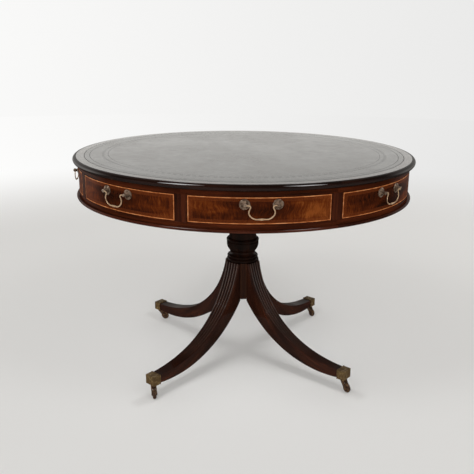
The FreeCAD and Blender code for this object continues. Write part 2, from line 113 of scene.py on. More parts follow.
def turned(degrees: float, axis: str = "Z") -> Matrix:
    """A turn about an axis through the origin, the table's own at first."""
    return Matrix.Rotation(math.radians(degrees), 4, axis)


def sector(number: int) -> Matrix:
    """The turn that takes the first front's place to that of a numbered one."""
    return turned(2 * HALF_SECTOR * (number - 1))


def diagonal(number: int) -> Matrix:
    """The turn that takes +X to a leg's way, in the order of the legs' names."""
    return turned(90 * number - 135)


# Materials


class Signal:
    """A shader socket in Python expressions, each of which adds its Math node."""

    def __init__(self, shader: "Shader", socket: bpy.types.NodeSocket) -> None:
        """Keeps the shader and its socket."""
        self.shader = shader
        self.socket = socket

    def math(self, operation: str, *others: "Value") -> "Signal":
        """Works with this value first.

        Args:
            operation: The Math node's operation.
            others: What follows this value.

        Returns:
            The result.
        """
        return self.shader.maths(operation, self, *others)

    def output(self, name: str) -> "Signal":
        """Another output of the same node."""
        return Signal(self.shader, self.socket.node.outputs[name])

    def __add__(self, other: "Value") -> "Signal":
        """The sum."""
        return self.math("ADD", other)

    def __sub__(self, other: "Value") -> "Signal":
        """The difference."""
        return self.math("SUBTRACT", other)

    def __rsub__(self, other: "Value") -> "Signal":
        """The difference from a number."""
        return self.shader.maths("SUBTRACT", other, self)

    def __mul__(self, other: "Value") -> "Signal":
        """The product."""
        return self.math("MULTIPLY", other)

    def __truediv__(self, other: "Value") -> "Signal":
        """The quotient."""
        return self.math("DIVIDE", other)

    def __pow__(self, other: "Value") -> "Signal":
        """The power."""
        return self.math("POWER", other)

    def __abs__(self) -> "Signal":
        """The size without its sign."""
        return self.math("ABSOLUTE")

    __radd__ = __add__
    __rmul__ = __mul__

    def out(self, other: "Signal") -> "Signal":
        """How far out a point lies, with this value and another as its sides."""
        return (self * self + other * other) ** 0.5

    def rise(self, low: float, high: float) -> "Signal":
        """A smooth step.

        Args:
            low: Where the result is 0.
            high: Where the result is 1.

        Returns:
            The step, held between 0 and 1.
        """
        return self.shader.node("ShaderNodeMapRange", {
            "Value": self, "From Min": low, "From Max": high}, interpolation_type="SMOOTHSTEP")

    def band(self, centre: float, half: float) -> "Signal":
        """A soft line where this value is near a centre.

        Args:
            centre: The middle of the line.
            half: Half of its width.

        Returns:
            One on the line and 0 away from it.
        """
        return 1 - abs(self - centre).rise(half * (1 - BAND_EDGE), half * (1 + BAND_EDGE))


Value = Union[Signal, float, tuple]


class Shader:
    """The nodes of a material or of the world."""

    def __init__(self, owner: Union[bpy.types.Material, bpy.types.World]) -> None:
        """Empties the nodes of an owner.

        Args:
            owner: Whose nodes they are.
        """
        owner.use_nodes = True
        self.owner, self.tree = owner, owner.node_tree
        self.tree.nodes.clear()

    @classmethod
    def named(cls, name: str) -> "Shader":
        """The nodes of a new material."""
        return cls(bpy.data.materials.new(name))

    @staticmethod
    def pick(sockets: Sequence[bpy.types.NodeSocket], key: Union[int, str]) -> bpy.types.NodeSocket:
        """The socket in use at an index or of a name.

        Args:
            sockets: The inputs or outputs of a node.
            key: A place in the list of those in use, or a name.

        Returns:
            The socket.
        """
        used = [socket for socket in sockets if socket.enabled]
        if isinstance(key, int):
            return used[key]
        return next(socket for socket in used if socket.name == key)

    def node(self, kind: str, sockets: Union[Mapping[Union[int, str], Value], None] = None,
             **settings: object) -> Signal:
        """Adds a node.

        Args:
            kind: The node's type.
            sockets: Values or links of its sockets.
            settings: Its settings, a ramp's stops among them.

        Returns:
            Its first output in use, or a signal without one for an end node.
        """
        made = self.tree.nodes.new(kind)
        for name, value in settings.items():
            if name == "stops":
                self.set_stops(made.color_ramp, value)
            else:
                setattr(made, name, value)
        for key, value in (sockets or {}).items():
            socket = self.pick(made.inputs, key)
            if isinstance(value, Signal):
                self.tree.links.new(value.socket, socket)
            else:
                socket.default_value = value
        return Signal(self, self.pick(made.outputs, 0) if len(made.outputs) else None)

    @staticmethod
    def set_stops(ramp: bpy.types.ColorRamp, stops: Sequence[tuple[float, Colour]]) -> None:
        """Gives a ramp its stops.

        Args:
            ramp: The ramp.
            stops: Places and colours, in order.
        """
        while len(ramp.elements) < len(stops):
            ramp.elements.new(1.0)
        for element, (place, colour) in zip(ramp.elements, stops):
            element.position = place
            element.color = colour

    def maths(self, operation: str, *values: Value) -> Signal:
        """A Math node on some values, in their order."""
        return self.node("ShaderNodeMath", dict(enumerate(values)), operation=operation)

    def place(self) -> Signal:
        """The point's place on the piece, in millimetres.

        Returns:
            The place as a vector.
        """
        point = self.node("ShaderNodeTexCoord").output("Object")
        return self.node("ShaderNodeVectorMath", {0: point, "Scale": 1 / MM}, operation="SCALE")

    def parts(self, vector: Signal) -> tuple[Signal, Signal, Signal]:
        """The x, y and z of a vector."""
        split = self.node("ShaderNodeSeparateXYZ", {0: vector})
        return split, split.output("Y"), split.output("Z")

    def vector(self, x: Value, y: Value, z: Value) -> Signal:
        """A vector of three values."""
        return self.node("ShaderNodeCombineXYZ", {0: x, 1: y, 2: z})

    def noise(self, place: Signal, size: Size, detail: float,
              distortion: float = 0.0) -> Signal:
        """Soft noise of a size.

        Args:
            place: The point, in millimetres.
            size: The size of its cells along each axis, in millimetres.
            detail: How many finer layers it has.
            distortion: How far it is stirred.

        Returns:
            A value round one half.
        """
        shrunk = self.node("ShaderNodeVectorMath", {0: place, 1: size}, operation="DIVIDE")
        return self.node("ShaderNodeTexNoise", {"Vector": shrunk, "Scale": 1.0,
                                                "Detail": detail, "Distortion": distortion})

    def mix(self, first: Value, second: Value, share: Value) -> Signal:
        """Blends two colours.

        Args:
            first: The colour at a share of 0.
            second: The colour at a share of 1.
            share: How much of the second.

        Returns:
            The colour.
        """
        return self.node("ShaderNodeMix", {"Factor": share, "A": first, "B": second},
                         data_type="RGBA")

    def ramp(self, value: Signal, stops: Stops) -> Signal:
        """A colour that follows a value through stops."""
        return self.node("ShaderNodeValToRGB", {0: value}, stops=stops)

    def around(self, parts: int) -> tuple[Signal, Signal, Signal]:
        """Places on a round form made in equal parts, the first centred at the front.

        Args:
            parts: How many parts go round.

        Returns:
            The turn from the part's centre in radians, the part's number and the radius.
        """
        x, y, _ = self.parts(self.place())
        radius = x.out(y)
        turn = x.math("ARCTAN2", y * -1)
        step = math.tau / parts
        number = (turn / step + 0.5).math("FLOOR")
        return turn - number * step, number.math("FLOORED_MODULO", parts), radius

    def finish(self, colour: Value, roughness: Value, height: Signal, depth: float,
               **others: Value) -> bpy.types.Material:
        """Ends the material with its surface.

        Args:
            colour: The base colour.
            roughness: The roughness.
            height: What stands proud.
            depth: How far a height of one stands proud, in millimetres.
            others: Other sockets, named with an underscore for each space.

        Returns:
            The material.
        """
        bump = self.node("ShaderNodeBump", {
            "Strength": 1.0, "Distance": depth * MM, "Height": height})
        sockets = {"Base Color": colour, "Roughness": roughness, "Normal": bump}
        for name, value in others.items():
            sockets[name.replace("_", " ")] = value
        surface = self.node("ShaderNodeBsdfPrincipled", sockets)
        self.node("ShaderNodeOutputMaterial", {"Surface": surface})
        return self.owner


class Grain(Enum):
    """The way that a piece's grain runs."""

    UPRIGHT = "upright"
    ACROSS = "across"
    DEEP = "deep"
    ROUND = "round"
    RADIAL = "radial"
    LAID = "laid"

    def lay(self, shader: Shader) -> Signal:
        """The point's place with its first part along the grain.

        Args:
            shader: The material's nodes.

        Returns:
            The place in millimetres.
        """
        if self is Grain.LAID:
            return shader.node("ShaderNodeAttribute", attribute_name="grain").output("Vector")
        x, y, z = shader.parts(shader.place())
        straight = {Grain.UPRIGHT: (z, x, y), Grain.ACROSS: (x, y, z), Grain.DEEP: (y, x, z)}
        if self in straight:
            return shader.vector(*straight[self])
        turn, number, radius = shader.around(SECTORS)
        if self is Grain.ROUND:
            return shader.vector(turn * radius + number * SECTOR_CUT, z, radius)
        return shader.vector(radius, turn * RIM_REACH + number * SECTOR_CUT, z)


@dataclass(frozen=True)
class Finish:
    """What a surface is finished with."""

    name: str

    def make(self) -> bpy.types.Material:
        """The material of the finish."""
        return self.surface(Shader.named(self.name))

    def surface(self, shader: Shader) -> bpy.types.Material:
        """Adds the nodes of the surface and ends the material with it.

        Args:
            shader: The material's nodes.

        Returns:
            The material.
        """
        raise NotImplementedError


@dataclass(frozen=True)
class Mahogany(Finish):
    """Polished mahogany: a broad figure, fine stripes and dark pores under the polish."""

    grain: Grain
    dark: Colour
    middle: Colour
    light: Colour
    roughness: float = 0.3
    polish: float = 0.08
    gloss: float = 0.0
    sheen: float = 0.08
    lacquer: float = 3.2
    figure: Size = (240, 38, 38)
    stripe: Size = (300, 6, 6)
    figure_share: float = 0.62
    tone_places: tuple[float, float, float] = (0.36, 0.5, 0.66)
    pore: Size = (9, 0.7, 0.7)
    pore_edge: tuple[float, float] = (0.58, 0.72)
    pore_fill: float = 0.55
    pore_rough: float = 0.08
    pore_depth: float = 0.03
    rubbing: Size = (55, 30, 30)
    rubbing_rough: float = 0.16
    pitch: float = 0.0
    reeded: float = 27.5
    reeds_end: tuple[float, float] = (300.0, 480.0)
    crown_edge: tuple[float, float] = (0.06, 0.2)
    crown_polish: float = 0.5
    groove_edge: tuple[float, float] = (0.3, 0.44)
    # How much of the painted shade goes into the grooves.
    groove_shade_share: float = 0.8
    groove_dull: float = 0.9
    # The colour of the painted highlight on the reed crowns, and of the painted shade in the
    # grooves.
    crown_highlight: Colour = shade(84, 62, 52)
    groove_shade: Colour = shade(7, 4, 3)

    def reeds(self, shader: Shader, laid: Signal) -> tuple[Signal, Signal]:
        """Where a leg's reed crowns take a painted highlight and its grooves a painted shade.

        Args:
            shader: The material's nodes.
            laid: The place along, across and through the leg.

        Returns:
            The crowns and the grooves, each 1 where it is.
        """
        along, across, _ = shader.parts(laid)
        upper = 1 - along.math("FLOORED_MODULO", LEG_CUT[0]).rise(*self.reeds_end)
        reeded = upper * (1 - abs(across).rise(self.reeded, self.reeded + 1))
        place = abs((across / self.pitch + 0.5).math("FRACT") - 0.5)
        crowns = 1 - place.rise(*self.crown_edge)
        return reeded * crowns, reeded * place.rise(*self.groove_edge)

    def surface(self, shader: Shader) -> bpy.types.Material:
        """Adds the wood, the painted highlight and shade on its reeds where it has them, and the
        polish.

        Args:
            shader: The material's nodes.

        Returns:
            The material.
        """
        laid = self.grain.lay(shader)
        figure = shader.noise(laid, self.figure, 4, 0.6)
        stripe = shader.noise(laid, self.stripe, 3)
        pores = shader.noise(laid, self.pore, 2).rise(*self.pore_edge)
        tone = figure * self.figure_share + stripe * (1 - self.figure_share)
        tones = tuple(zip(self.tone_places, (self.dark, self.middle, self.light)))
        wood = shader.mix(shader.ramp(tone, tones), self.dark, pores * self.pore_fill)
        coat: Value = self.polish
        if self.pitch:
            crowns, grooves = self.reeds(shader, laid)
            # Painted highlight: the reed crowns are painted lighter where the stripe runs.
            wood = shader.mix(wood, self.crown_highlight, crowns * stripe)
            # Painted shade: the grooves between the reeds are painted darker, and their polish is
            # dulled.
            wood = shader.mix(wood, self.groove_shade, grooves * self.groove_shade_share)
            coat = self.polish * (1 - grooves * self.groove_dull) + crowns * self.crown_polish
        rubbed = shader.noise(laid, self.rubbing, 3) - 0.5
        rough = self.roughness + rubbed * self.rubbing_rough + pores * self.pore_rough
        return shader.finish(wood, rough, pores * -1, self.pore_depth,
                             Specular_IOR_Level=self.gloss, Coat_Weight=coat,
                             Coat_Roughness=self.sheen, Coat_IOR=self.lacquer)


@dataclass(frozen=True)
class FlameVeneer(Finish):
    """Flame mahogany on the fronts: clouds and a fine cross mottle, in a narrow border."""

    half_width: float
    low: float
    high: float
    border: float = 13.0
    border_edge: float = 0.4
    trim: float = 1.1
    trim_edge: float = 0.2
    joint_half: float = 0.35
    roughness: float = 0.3
    polish: float = 0.08
    sheen: float = 0.08
    lacquer: float = 3.2
    swirl: Size = (120, 60, 1)
    stirred: tuple[float, float] = (50.0, 12.0)
    cloud: Size = (110, 34, 1)
    mottle: Size = (5, 30, 1)
    fine: Size = (1.2, 9, 1)
    fleck: Size = (2.5, 2.5, 1)
    cloud_share: float = 0.45
    mottle_share: float = 0.35
    fine_share: float = 0.2
    end_edge: tuple[float, float] = (0.1, 0.9)
    end_level: float = 0.55
    end_lift: float = 0.13
    tilt: float = 0.028
    # Painted light: each sheet's tone, set by sheet_turn so the front sheet is lighter and the sheet
    # to its right darker.
    sheet_turn: float = 2.9
    sheet_painted_light: float = 0.04
    tone_drop: float = 0.03
    banding_share: float = 0.55
    joint_share: float = 0.5
    pore: Size = (0.7, 5, 1)
    pore_edge: tuple[float, float] = (0.6, 0.75)
    pore_rough: float = 0.06
    pore_depth: float = 0.02
    cloud_rough: float = 0.12
    tones: Stops = ((0.34, shade(31, 10, 3)), (0.46, shade(54, 20, 5)),
                    (0.56, shade(80, 34, 9)), (0.68, shade(112, 58, 22)))
    banding: Stops = ((0.35, shade(68, 29, 10)), (0.65, shade(102, 48, 19)))
    joint: Colour = shade(40, 16, 8)
    edge: Colour = shade(52, 22, 10)

    def surface(self, shader: Shader) -> bpy.types.Material:
        """Adds the figure, the border, the joint and the polish.

        Args:
            shader: The material's nodes.

        Returns:
            The material.
        """
        turn, number, radius = shader.around(SECTORS)
        _, _, z = shader.parts(shader.place())
        along = turn * radius
        height = z - (self.low + self.high) / 2
        step, deep = (number * cut for cut in VENEER_CUT)
        laid = shader.vector(along + step, height, deep)
        swirl = shader.noise(laid, self.swirl, 2)
        aside, up = (swirl * far for far in self.stirred)
        flow = shader.vector(along + aside + step, height + up, deep)
        cloud = shader.noise(flow, self.cloud, 3, 0.4)
        mottle = shader.noise(flow, self.mottle, 3, 0.3)
        fine = shader.noise(laid, self.fine, 2)
        tone = cloud * self.cloud_share + mottle * self.mottle_share + fine * self.fine_share
        ends = (abs(along) / self.half_width).rise(*self.end_edge)
        # Painted light: the front sheet is painted lighter and the one to its right darker.
        sheet = (number * self.sheet_turn).math("COSINE")
        tone = tone + (ends - self.end_level) * self.end_lift
        tone = tone + along / self.half_width * (sheet + 1) * self.tilt
        tone = tone + sheet * self.sheet_painted_light - self.tone_drop
        wood = shader.ramp(tone, self.tones)
        inset = (self.half_width - abs(along)).math(
            "MINIMUM", (self.high - self.low) / 2 - abs(height))
        border = 1 - inset.rise(self.border - self.border_edge, self.border + self.border_edge)
        banding = shader.ramp(shader.noise(laid, self.fleck, 2), self.banding)
        wood = shader.mix(wood, banding, border * self.banding_share)
        joint = inset.band(self.border, self.joint_half)
        wood = shader.mix(wood, self.joint, joint * self.joint_share)
        trim = 1 - inset.rise(self.trim - self.trim_edge, self.trim + self.trim_edge)
        wood = shader.mix(wood, self.edge, trim)
        pores = shader.noise(laid, self.pore, 1).rise(*self.pore_edge)
        rough = self.roughness + (cloud - 0.5) * self.cloud_rough + pores * self.pore_rough
        return shader.finish(wood, rough, pores * -1, self.pore_depth, Specular_IOR_Level=0.0,
                             Coat_Weight=self.polish, Coat_Roughness=self.sheen,
                             Coat_IOR=self.lacquer)


@dataclass(frozen=True)
class Boxwood(Finish):
    """The light string round each front, darkened here and there by old polish."""

    blotch: Size = (24, 24, 14)
    fine: Size = (2, 2, 2)
    fine_rough: float = 0.12
    fine_depth: float = 0.02
    roughness: float = 0.3
    polish: float = 0.08
    sheen: float = 0.12
    lacquer: float = 3.2
    tones: Stops = ((0.36, shade(138, 77, 40)), (0.52, shade(176, 109, 64)),
                    (0.68, shade(200, 138, 90)))

    def surface(self, shader: Shader) -> bpy.types.Material:
        """Adds the aged wood and the polish.

        Args:
            shader: The material's nodes.

        Returns:
            The material.
        """
        place = shader.place()
        wood = shader.ramp(shader.noise(place, self.blotch, 4), self.tones)
        fine = shader.noise(place, self.fine, 2)
        return shader.finish(wood, self.roughness + fine * self.fine_rough, fine,
                             self.fine_depth, Specular_IOR_Level=0.0, Coat_Weight=self.polish,
                             Coat_Roughness=self.sheen, Coat_IOR=self.lacquer)


@dataclass(frozen=True)
class Hide(Finish):
    """Near-black leather with pebbled grain, rubbed patches and tooled rings."""

    radius: float
    edge: tuple[float, float] = (-2.6, -1.8)
    outer_ring: float = 0.966
    outer_half: float = 1.2
    outer_press: float = 0.8
    inner_ring: float = 0.855
    inner_half: float = 0.9
    inner_press: float = 0.6
    leaf_ring: float = 0.885
    leaves: int = 150
    leaf: tuple[float, float] = (7.5, 6.0)
    leaf_edge: tuple[float, float] = (0.5, 1.0)
    leaf_press: float = 0.35
    pressed_share: float = 0.75
    pebble: float = 0.7
    pebble_height: float = 0.25
    crease: Size = (34, 34, 34)
    crease_height: float = 0.9
    crease_rough: float = 0.12
    rubbing: Size = (160, 260, 160)
    rubbing_share: float = 0.6
    rubbing_rough: float = 0.16
    tooled_depth: float = 1.6
    tooled_rough: float = 0.3
    edge_rough: float = 0.5
    depth: float = 0.05
    roughness: float = 0.1
    gloss: float = 0.75
    polish: float = 0.4
    sheen: float = 0.16
    lacquer: float = 1.6
    tones: Stops = ((0.36, shade(19, 16, 15)), (0.52, shade(34, 29, 27)),
                    (0.7, shade(58, 49, 43)))
    pressed: Colour = shade(7, 6, 6)

    def surface(self, shader: Shader) -> bpy.types.Material:
        """Adds the grain, the rubbed patches and the tooling.

        Args:
            shader: The material's nodes.

        Returns:
            The material.
        """
        place = shader.place()
        pebbles = shader.node("ShaderNodeTexVoronoi", {"Vector": place, "Scale": self.pebble})
        creases = shader.noise(place, self.crease, 5, 0.7)
        rubbed = shader.noise(place, self.rubbing, 5, 0.4)
        tone = rubbed * self.rubbing_share + creases * (1 - self.rubbing_share)
        hide = shader.ramp(tone, self.tones)
        turn, _, radius = shader.around(self.leaves)
        edge = (radius - self.radius).rise(*self.edge)
        outer = radius.band(self.radius * self.outer_ring, self.outer_half) * self.outer_press
        inner = radius.band(self.radius * self.inner_ring, self.inner_half) * self.inner_press
        round_leaf = turn * radius / self.leaf[0]
        out_leaf = (radius - self.radius * self.leaf_ring) / self.leaf[1]
        leaves = 1 - (round_leaf ** 2 + out_leaf ** 2).rise(*self.leaf_edge)
        tooled = outer.math("MAXIMUM", inner).math("MAXIMUM", leaves * self.leaf_press)
        pressed = tooled.math("MAXIMUM", edge)
        hide = shader.mix(hide, self.pressed, pressed * self.pressed_share)
        rough = self.roughness + creases * self.crease_rough + rubbed * self.rubbing_rough
        rough = rough + tooled * self.tooled_rough + edge * self.edge_rough
        height = (pebbles * self.pebble_height + creases * self.crease_height
                  - tooled * self.tooled_depth)
        return shader.finish(hide, rough, height, self.depth, Specular_IOR_Level=self.gloss,
                             Coat_Weight=self.polish, Coat_Roughness=self.sheen,
                             Coat_IOR=self.lacquer)


@dataclass(frozen=True)
class Brass(Finish):
    """Old brass: rubbed bright on what stands proud, brown with tarnish elsewhere."""

    bright: Colour
    tarnish: Colour
    worn: float
    roughness: float
    metal: float
    patch: Size = (9, 9, 9)
    patch_share: float = 0.75
    speck: Size = (1.1, 1.1, 1.1)
    speck_rough: float = 0.06
    speck_height: float = 0.4
    wear_edge: tuple[float, float] = (0.62, 0.86)
    wear_reach: float = 0.4
    tarnish_rough: float = 0.2
    depth: float = 0.05

    def surface(self, shader: Shader) -> bpy.types.Material:
        """Adds the rubbed metal and the tarnish.

        Args:
            shader: The material's nodes.

        Returns:
            The material.
        """
        place = shader.place()
        patch = shader.noise(place, self.patch, 5, 0.5)
        speck = shader.noise(place, self.speck, 2)
        low, high = (edge - self.worn * self.wear_reach for edge in self.wear_edge)
        wear = (patch * self.patch_share + speck * (1 - self.patch_share)).rise(low, high)
        metal = shader.mix(self.tarnish, self.bright, wear)
        rough = self.roughness + (1 - wear) * self.tarnish_rough + speck * self.speck_rough
        return shader.finish(metal, rough, patch + speck * self.speck_height, self.depth,
                             Metallic=self.metal)


@dataclass(frozen=True)
class PlainTimber(Finish):
    """Unpolished timber inside the drum, with a soft stripe and open pores."""

    grain: Grain
    dark: Colour
    light: Colour
    stripe: Size = (260, 9, 9)
    stripe_rough: float = 0.12
    tone_places: tuple[float, float] = (0.34, 0.66)
    pore: Size = (7, 0.6, 0.6)
    pore_edge: tuple[float, float] = (0.56, 0.7)
    pore_fill: float = 0.5
    pore_depth: float = 0.05
    roughness: float = 0.62
    gloss: float = 0.3

    def surface(self, shader: Shader) -> bpy.types.Material:
        """Adds the stripe and the pores.

        Args:
            shader: The material's nodes.

        Returns:
            The material.
        """
        laid = self.grain.lay(shader)
        stripe = shader.noise(laid, self.stripe, 4, 0.4)
        pores = shader.noise(laid, self.pore, 2).rise(*self.pore_edge)
        wood = shader.ramp(stripe, tuple(zip(self.tone_places, (self.dark, self.light))))
        wood = shader.mix(wood, self.dark, pores * self.pore_fill)
        return shader.finish(wood, self.roughness + stripe * self.stripe_rough, pores * -1,
                             self.pore_depth, Specular_IOR_Level=self.gloss)


# Shaping


class Outline:
    """A line drawn point by point, then turned or pushed into a form."""

    def __init__(self, *start: float) -> None:
        """Starts the line at a point.

        Args:
            start: Its x and z, or its x, y and z.
        """
        self.mesh = bmesh.new()
        self.first = bmesh.ops.create_vert(self.mesh, co=self.point(start))["vert"][0]
        self.last = self.first

    @staticmethod
    def point(place: Sequence[float]) -> Vector:
        """A point from x and z, or from x, y and z."""
        return Vector((place[0], 0, place[1])) if len(place) == 2 else Vector(place)

    def to(self, *place: float) -> "Outline":
        """Draws a straight run to a point.

        Args:
            place: Its x and z, or its x, y and z.

        Returns:
            The outline.
        """
        self.last = bmesh.ops.extrude_vert_indiv(self.mesh, verts=[self.last])["verts"][0]
        self.last.co = self.point(place)
        return self

    def bend(self, x: float, z: float, sweep: float, steps: int = 6) -> "Outline":
        """Draws an arc in the upright plane.

        Args:
            x: Where it ends, outwards.
            z: Where it ends, upwards.
            sweep: How far it turns, to the left of its way where positive.
            steps: How many straight runs it has.

        Returns:
            The outline.
        """
        chord = self.point((x, z)) - self.last.co
        left = Vector((-chord.z, 0, chord.x))
        centre = self.last.co + chord / 2 + left * (0.5 / math.tan(math.radians(sweep / 2)))
        made = bmesh.ops.spin(self.mesh, geom=[self.last], cent=centre, axis=(0, -1, 0),
                              angle=math.radians(sweep), steps=steps)
        self.last = next(item for item in made["geom_last"] if isinstance(item, BMVert))
        return self

    def trace(self, stations: Sequence[Station], lift: float = 0.0) -> "Outline":
        """Draws straight runs and arcs one after another.

        Args:
            stations: Each one's end outwards and upwards, and an arc's sweep and steps.
            lift: How far up the whole is moved.

        Returns:
            The outline.
        """
        for x, z, *arc in stations:
            if arc:
                self.bend(x, z + lift, *arc)
            else:
                self.to(x, z + lift)
        return self

    def close(self) -> "Outline":
        """Joins the end to the start."""
        bmesh.ops.contextual_create(self.mesh, geom=[self.last, self.first])
        return self

    def turn(self, steps: int) -> BMesh:
        """Turns the outline all the way round the upright axis.

        Args:
            steps: How many flats go round.

        Returns:
            The form, its poles closed and its faces outwards.
        """
        bmesh.ops.spin(self.mesh, geom=everything(self.mesh), cent=ORIGIN, axis=UP,
                       angle=math.tau, steps=steps, use_merge=True)
        return settled(self.mesh)

    def slab(self, low: float, high: float) -> BMesh:
        """Pushes the closed outline through along y.

        Args:
            low: Where the form starts.
            high: Where it ends.

        Returns:
            The form.
        """
        bmesh.ops.contextual_create(self.mesh, geom=self.mesh.edges[:])
        bmesh.ops.translate(self.mesh, vec=(0, low, 0), verts=self.mesh.verts)
        made = bmesh.ops.extrude_face_region(self.mesh, geom=self.mesh.faces[:])
        bmesh.ops.translate(self.mesh, vec=(0, high - low, 0), verts=of(made["geom"], BMVert))
        return settled(self.mesh)


def of(items: Sequence[object], kind: type) -> list:
    """The items of one kind."""
    return [item for item in items if isinstance(item, kind)]


def everything(mesh: BMesh) -> list:
    """All the vertices, edges and faces of a mesh."""
    return mesh.verts[:] + mesh.edges[:] + mesh.faces[:]


def cut_off(mesh: BMesh, place: Vector, way: Vector) -> None:
    """Cuts away what lies past a plane, and closes the cut.

    Args:
        mesh: The mesh.
        place: A point of the plane.
        way: The plane's normal, towards what goes.
    """
    cut = bmesh.ops.bisect_plane(mesh, geom=everything(mesh), dist=CUT_SLACK, plane_co=place,
                                 plane_no=way, clear_outer=True)
    bmesh.ops.contextual_create(mesh, geom=of(cut["geom_cut"], BMEdge))


def settled(mesh: BMesh) -> BMesh:
    """Merges doubles, drops faces without area and turns the rest outwards.

    Args:
        mesh: The mesh, which is changed itself.

    Returns:
        The same mesh.
    """
    bmesh.ops.remove_doubles(mesh, verts=mesh.verts, dist=NEAR)
    bmesh.ops.dissolve_degenerate(mesh, edges=mesh.edges, dist=NEAR)
    bmesh.ops.recalc_face_normals(mesh, faces=mesh.faces)
    return mesh


def moved(mesh: BMesh, way: Matrix) -> BMesh:
    """The mesh after a move."""
    bmesh.ops.transform(mesh, matrix=way, verts=mesh.verts)
    return mesh


def joined(meshes: Sequence[BMesh]) -> BMesh:
    """All the meshes as one.

    Args:
        meshes: What is joined. These are freed.

    Returns:
        The joined mesh.
    """
    whole = bmesh.new()
    whole.verts.layers.float_vector.new("grain")
    for mesh in meshes:
        carrier = stored(mesh, "carrier")
        whole.from_mesh(carrier)
        bpy.data.meshes.remove(carrier)
    return whole


def copied(mesh: BMesh, way: Matrix) -> BMesh:
    """A copy of a mesh after a move."""
    return moved(mesh.copy(), way)


def stored(mesh: BMesh, name: str) -> bpy.types.Mesh:
    """The mesh as an object's data. The mesh itself is freed.

    Args:
        mesh: The mesh.
        name: The data's name.

    Returns:
        The data.
    """
    data = bpy.data.meshes.new(name)
    mesh.to_mesh(data)
    mesh.free()
    return data


def placed(name: str, data: bpy.types.ID) -> bpy.types.Object:
    """An object of some data, in the scene.

    Args:
        name: The object's name.
        data: What it shows.

    Returns:
        The object.
    """
    item = bpy.data.objects.new(name, data)
    bpy.context.scene.collection.objects.link(item)
    return item


class BentWire:
    """A round wire that is drawn on along straight runs and bends."""

    def __init__(self, radius: float, sides: int, start: Vector, heading: Vector) -> None:
        """Starts a wire.

        Args:
            radius: The wire's radius.
            sides: How many flats go round it.
            start: Where its middle starts.
            heading: The way that it goes.
        """
        self.mesh = bmesh.new()
        self.end, self.heading = start.copy(), heading.normalized()
        facing = self.heading.to_track_quat("Z", "Y").to_matrix().to_4x4()
        bmesh.ops.create_circle(self.mesh, cap_ends=True, segments=sides, radius=radius,
                                matrix=Matrix.Translation(start) @ facing)
        self.rim = self.mesh.edges[:]

    def run(self, length: float, growth: float = 1.0) -> None:
        """Draws a straight run.

        Args:
            length: Its length.
            growth: How much wider the wire is at its end.
        """
        made = bmesh.ops.extrude_edge_only(self.mesh, edges=self.rim)["geom"]
        verts = of(made, BMVert)
        self.rim = [edge for edge in of(made, BMEdge) if all(v in verts for v in edge.verts)]
        self.end = self.end + self.heading * length
        bmesh.ops.translate(self.mesh, vec=self.heading * length, verts=verts)
        bmesh.ops.scale(self.mesh, vec=(growth,) * 3, verts=verts,
                        space=Matrix.Translation(-self.end))

    def bend(self, radius: float, heading: Vector, steps: int = 6) -> None:
        """Draws a bend.

        Args:
            radius: The bend's radius at the middle of the wire.
            heading: The way that the wire goes after it.
            steps: How many straight runs it has.
        """
        axis = self.heading.cross(heading).normalized()
        angle = self.heading.angle(heading)
        centre = self.end + axis.cross(self.heading) * radius
        made = bmesh.ops.spin(self.mesh, geom=self.rim, cent=centre, axis=axis, angle=angle,
                              steps=steps)
        self.rim = of(made["geom_last"], BMEdge)
        self.end = centre + Matrix.Rotation(angle, 3, axis) @ (self.end - centre)
        self.heading = heading.normalized()

    def follow(self, corners: Sequence[Vector], bends: Sequence[float]) -> None:
        """Draws the wire through corners, each rounded.

        Args:
            corners: The corners ahead and last the end.
            bends: The radius at each corner.
        """
        for corner, after, radius in zip(corners, corners[1:], bends):
            heading = (after - corner).normalized()
            tangent = radius * math.tan(self.heading.angle(heading) / 2)
            self.run((corner - self.end).length - tangent)
            self.bend(radius, heading)
        self.run((corners[-1] - self.end).length)

    def close(self) -> BMesh:
        """Closes the end and gives the wire's mesh."""
        bmesh.ops.contextual_create(self.mesh, geom=self.rim)
        return settled(self.mesh)


@dataclass(frozen=True)
class Plan:
    """Sizes that the frame gives, in millimetres."""

    top_radius: float
    top_low: float
    top_high: float
    leather_radius: float
    frieze_radius: float
    front_half: float
    front_low: float
    front_high: float
    bead_radius: float
    board_low: float
    board_high: float
    handle_reach: float
    handle_height: float
    block_low: float
    column_high: float

    @classmethod
    def read(cls) -> "Plan":
        """Reads the sizes from the frame's boxes and joints.

        Returns:
            The plan.
        """
        def corner(node: str, high: int = 1) -> Vector:
            """The lowest or highest corner of a node."""
            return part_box(node)[high] / MM

        def reach(node: str) -> float:
            """How far a round node reaches at the least of its four sides."""
            low, high = corner(node, 0), corner(node)
            return min(high.x, high.y, -low.x, -low.y)

        handle = joint_place("bail_1_swing")
        return cls(
            top_radius=reach("top_board"), top_low=corner("top_board", 0).z,
            top_high=corner("top_board").z, leather_radius=reach("leather_top"),
            frieze_radius=reach("upper_rail"), front_half=corner("drawer_1_front").x,
            front_low=corner("drawer_1_front", 0).z, front_high=corner("drawer_1_front").z,
            bead_radius=reach("bottom_board"), board_low=corner("bottom_board", 0).z,
            board_high=corner("bottom_board").z, handle_reach=-handle.y,
            handle_height=handle.z, block_low=corner("column", 0).z,
            column_high=corner("column").z)


def joint_place(name: str) -> Vector:
    """Where a joint of the frame is, in millimetres."""
    found = next(joint for joint in frame["joints"] if joint["name"] == name)
    return Vector(found["pos_m"]) / MM


